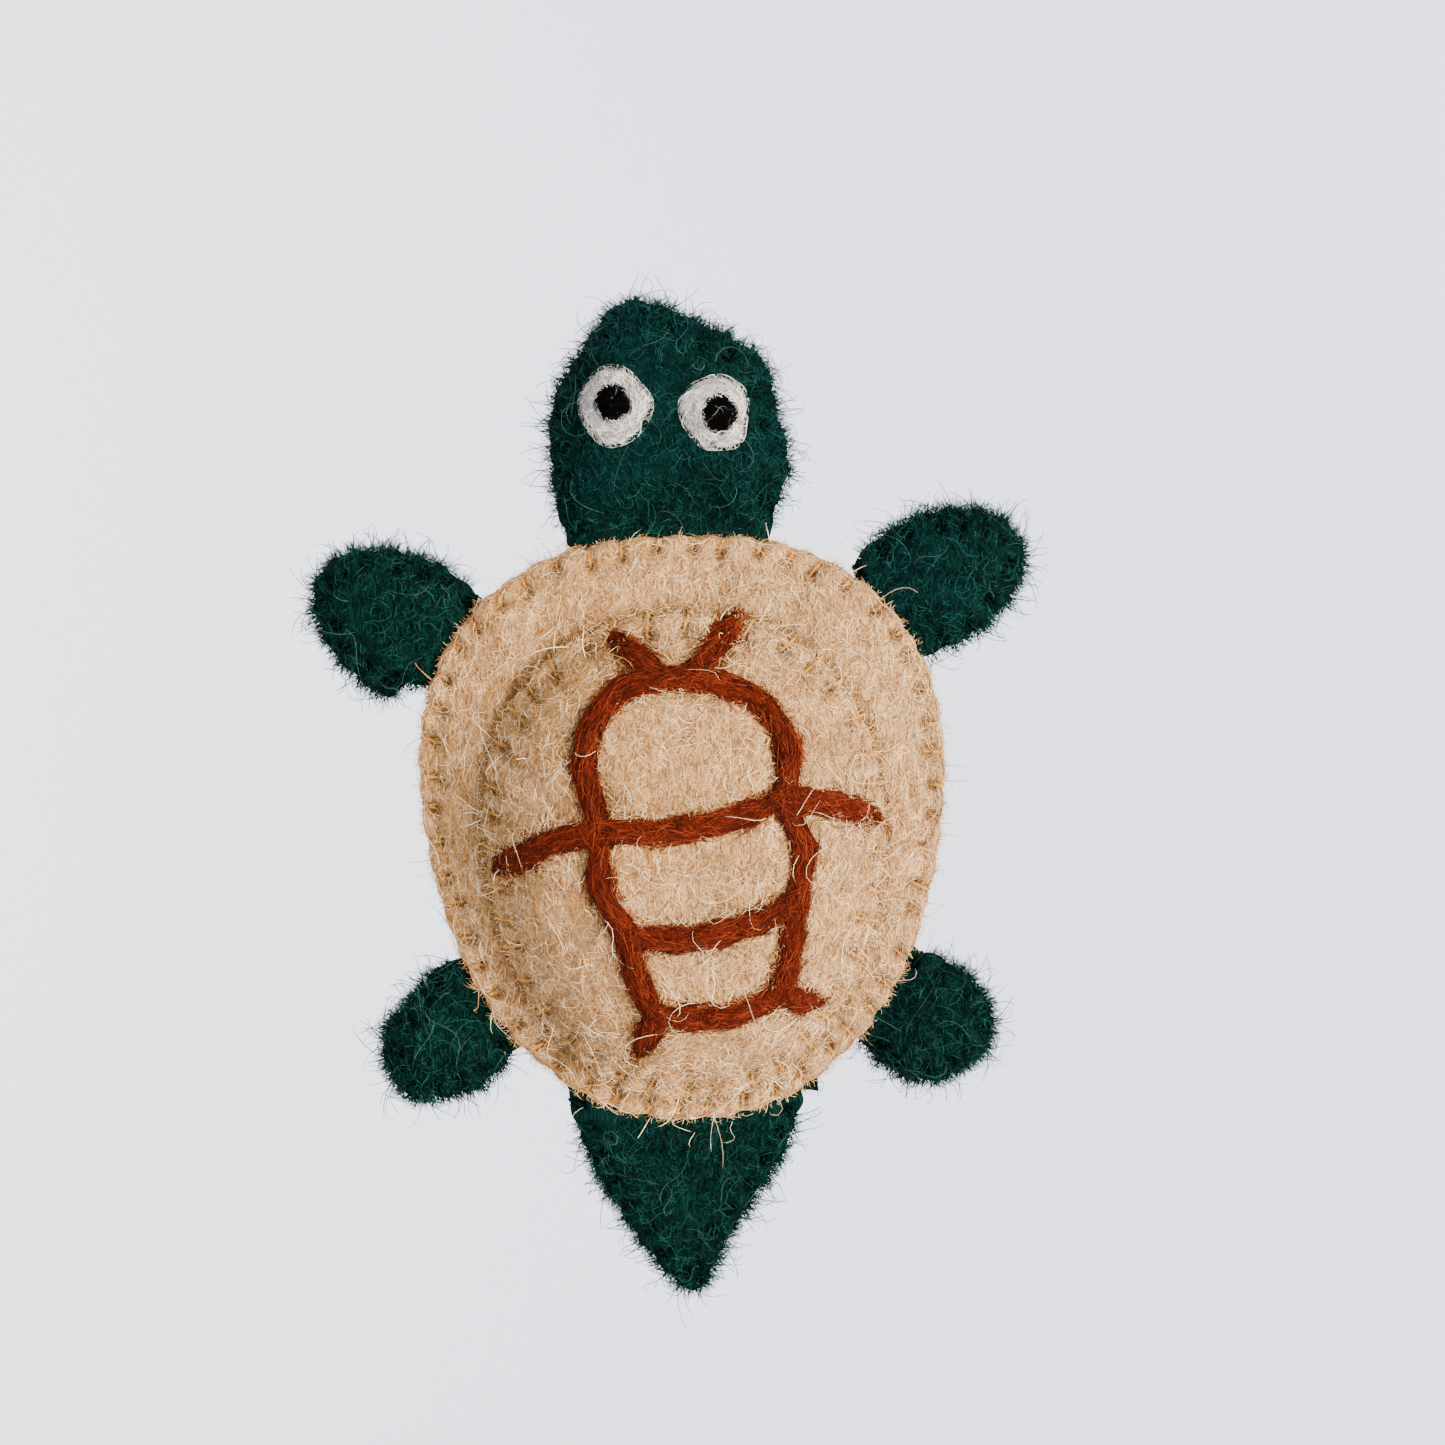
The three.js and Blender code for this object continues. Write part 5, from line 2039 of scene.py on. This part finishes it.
@dataclass(frozen=True)
class Studio:
    """A pale bowl of a backdrop with a flat floor, soft light from the right, and the camera."""

    distance: float = 350.0
    elevation: float = 8.0
    roll: float = 1.97
    field_of_view: float = 22.3
    aim_right: float = 3.67
    aim_up: float = 9.86
    floor: float = 1.1
    curve: float = 0.5
    wall: float = 2.4
    drop: float = 0.42
    sides: int = 96

    def backdrop(self) -> None:
        """Turns a profile into the bowl: a floor 1.1 m in radius that curves up into a wall 1.5 m out."""
        bend = np.linspace(0, math.pi / 2, 24)
        radius = np.concatenate([np.linspace(0.05, self.floor, 12), self.floor + self.curve * np.sin(bend)[1:],
                                 np.full(8, self.floor + self.curve)])
        height = np.concatenate([np.zeros(12), self.curve - self.curve * np.cos(bend)[1:],
                                 np.linspace(self.curve + 0.1, self.wall, 8)]) - self.drop
        turn = np.arange(self.sides) / self.sides * math.tau
        ring = np.stack([radius[:, None] * np.cos(turn), radius[:, None] * np.sin(turn),
                         np.broadcast_to(height[:, None], (len(height), self.sides))], -1)
        points = np.concatenate([ring.reshape(-1, 3), [[0, 0, height[0]]]])
        material = bpy.data.materials.new("pale_paper")
        material.use_nodes = True
        wire = Wiring(material.node_tree)
        shader = material.node_tree.nodes["Principled BSDF"]
        mottle = wire.noise(wire.add("ShaderNodeTexCoord").outputs["Object"], 3.0, 3.0)
        wire.feed(shader.inputs["Base Color"], wire.mix(mottle, shade("e4e4ea"), shade("e8e7ec")))
        shader.inputs["Roughness"].default_value = 0.9
        shader.inputs["Emission Color"].default_value = shade("e0e5f2")
        seen = wire.add("ShaderNodeLightPath").outputs["Is Camera Ray"]
        wire.feed(shader.inputs["Emission Strength"], wire.sum("ADD", wire.sum("MULTIPLY", seen, 2.2), 0.05))
        bowl = Shape(points / MM - MIDDLE, ring_quads(len(height), self.sides),
                     fan(len(height) * self.sides, 0, self.sides)[:, ::-1])
        bowl.to_object("studio_backdrop", material)

    def lights(self) -> None:
        """Hangs a large soft key light, a weaker fill and a rim light, under an even pale sky."""
        world = bpy.data.worlds.new("studio_sky")
        world.use_nodes = True
        sky = world.node_tree.nodes["Background"]
        sky.inputs["Color"].default_value = shade("eceef4")
        sky.inputs["Strength"].default_value = 0.3
        bpy.context.scene.world = world
        for name, place, size, power, colour in (
            ("key_light", (0.85, -0.8, 0.12), 0.7, 14.5, "fff8ee"),
            ("fill_light", (-0.9, -0.8, 0.1), 0.9, 5.5, "eef2ff"),
            ("back_light", (-0.5, 0.8, 0.6), 0.7, 9.0, "ffffff"),
        ):
            lamp = bpy.data.lights.new(name, "AREA")
            lamp.shape, lamp.size, lamp.energy, lamp.color = "DISK", size, power, shade(colour)[:3]
            lamp.spread = math.radians(60)
            light = bpy.data.objects.new(name, lamp)
            light.location = place
            aim(light, np.array(place), MIDDLE * MM, 0.0)
            bpy.context.scene.collection.objects.link(light)

    def camera(self) -> None:
        """Places the camera, aimed so that the shell's middle is a little left of and below the picture's."""
        up_angle, roll = math.radians(self.elevation), math.radians(self.roll)
        back = np.array([0, -math.cos(up_angle), math.sin(up_angle)])
        level, upright = np.array([1.0, 0, 0]), np.array([0, math.sin(up_angle), math.cos(up_angle)])
        right = math.cos(roll) * level - math.sin(roll) * upright
        up = math.cos(roll) * upright + math.sin(roll) * level
        target = MIDDLE + right * self.aim_right + up * self.aim_up
        lens = bpy.data.cameras.new("camera")
        lens.angle = math.radians(self.field_of_view)
        lens.clip_start, lens.clip_end = 0.01, 10.0
        camera = bpy.data.objects.new("camera", lens)
        place = (MIDDLE + back * self.distance) * MM
        camera.location = place
        aim(camera, place, target * MM, roll)
        bpy.context.scene.collection.objects.link(camera)
        bpy.context.scene.camera = camera


def aim(thing: bpy.types.Object, place: Array, target: Array, roll: float) -> None:
    """Turns a light or camera at a place to face a target, rolled clockwise as it looks."""
    turn = Vector(target - place).to_track_quat("-Z", "Y").to_matrix() @ Matrix.Rotation(-roll, 3, "Z")
    thing.rotation_euler = turn.to_euler()


# ---- The whole puppet ----


def main() -> None:
    logging.basicConfig(level=logging.INFO, format="%(message)s")
    studio = Studio()
    studio.camera()
    studio.lights()
    studio.backdrop()
    shop = Workshop(Finishes())
    tan = Coat(TAN_FIBRES, "tan_felt", 4700, 1900, 60, 850, 50, 0.078, 1.0, 0.62)
    green = Coat(GREEN_FIBRES, "green_felt", 2300, 1500, 60, 1400, 130, 0.1, 0.7)
    shell = Shell()
    dome = Dome(shell)
    shell.build(shop, tan, dome)
    dome.build(shop, tan)
    Roving(dome).build(shop)
    Pocket(shell).build(shop, Coat(GREEN_FIBRES, "green_felt", 2500, 1600, 60, 400, 40, 0.1, 0.75))
    limbs = {cut.name: Limb(cut, shell.outline, 300 if cut is HEAD else 200) for cut in LIMBS}
    small = Coat(GREEN_FIBRES, "green_felt", 850, 550, 26, 800, 60, 0.1, 0.7)
    middling = Coat(GREEN_FIBRES, "green_felt", 1250, 800, 36, 900, 80, 0.1, 0.7)
    for cut in LIMBS:
        coat = green if cut is HEAD else middling if cut is TAIL else small
        limbs[cut.name].build(shop, coat, 38 if cut is HEAD else 21)
    for cut in EYES:
        Eye(cut, limbs["head"]).build(shop)
    LOG.info("all pieces: %d triangles", shop.faces)


if __name__ == "__main__":
    main()
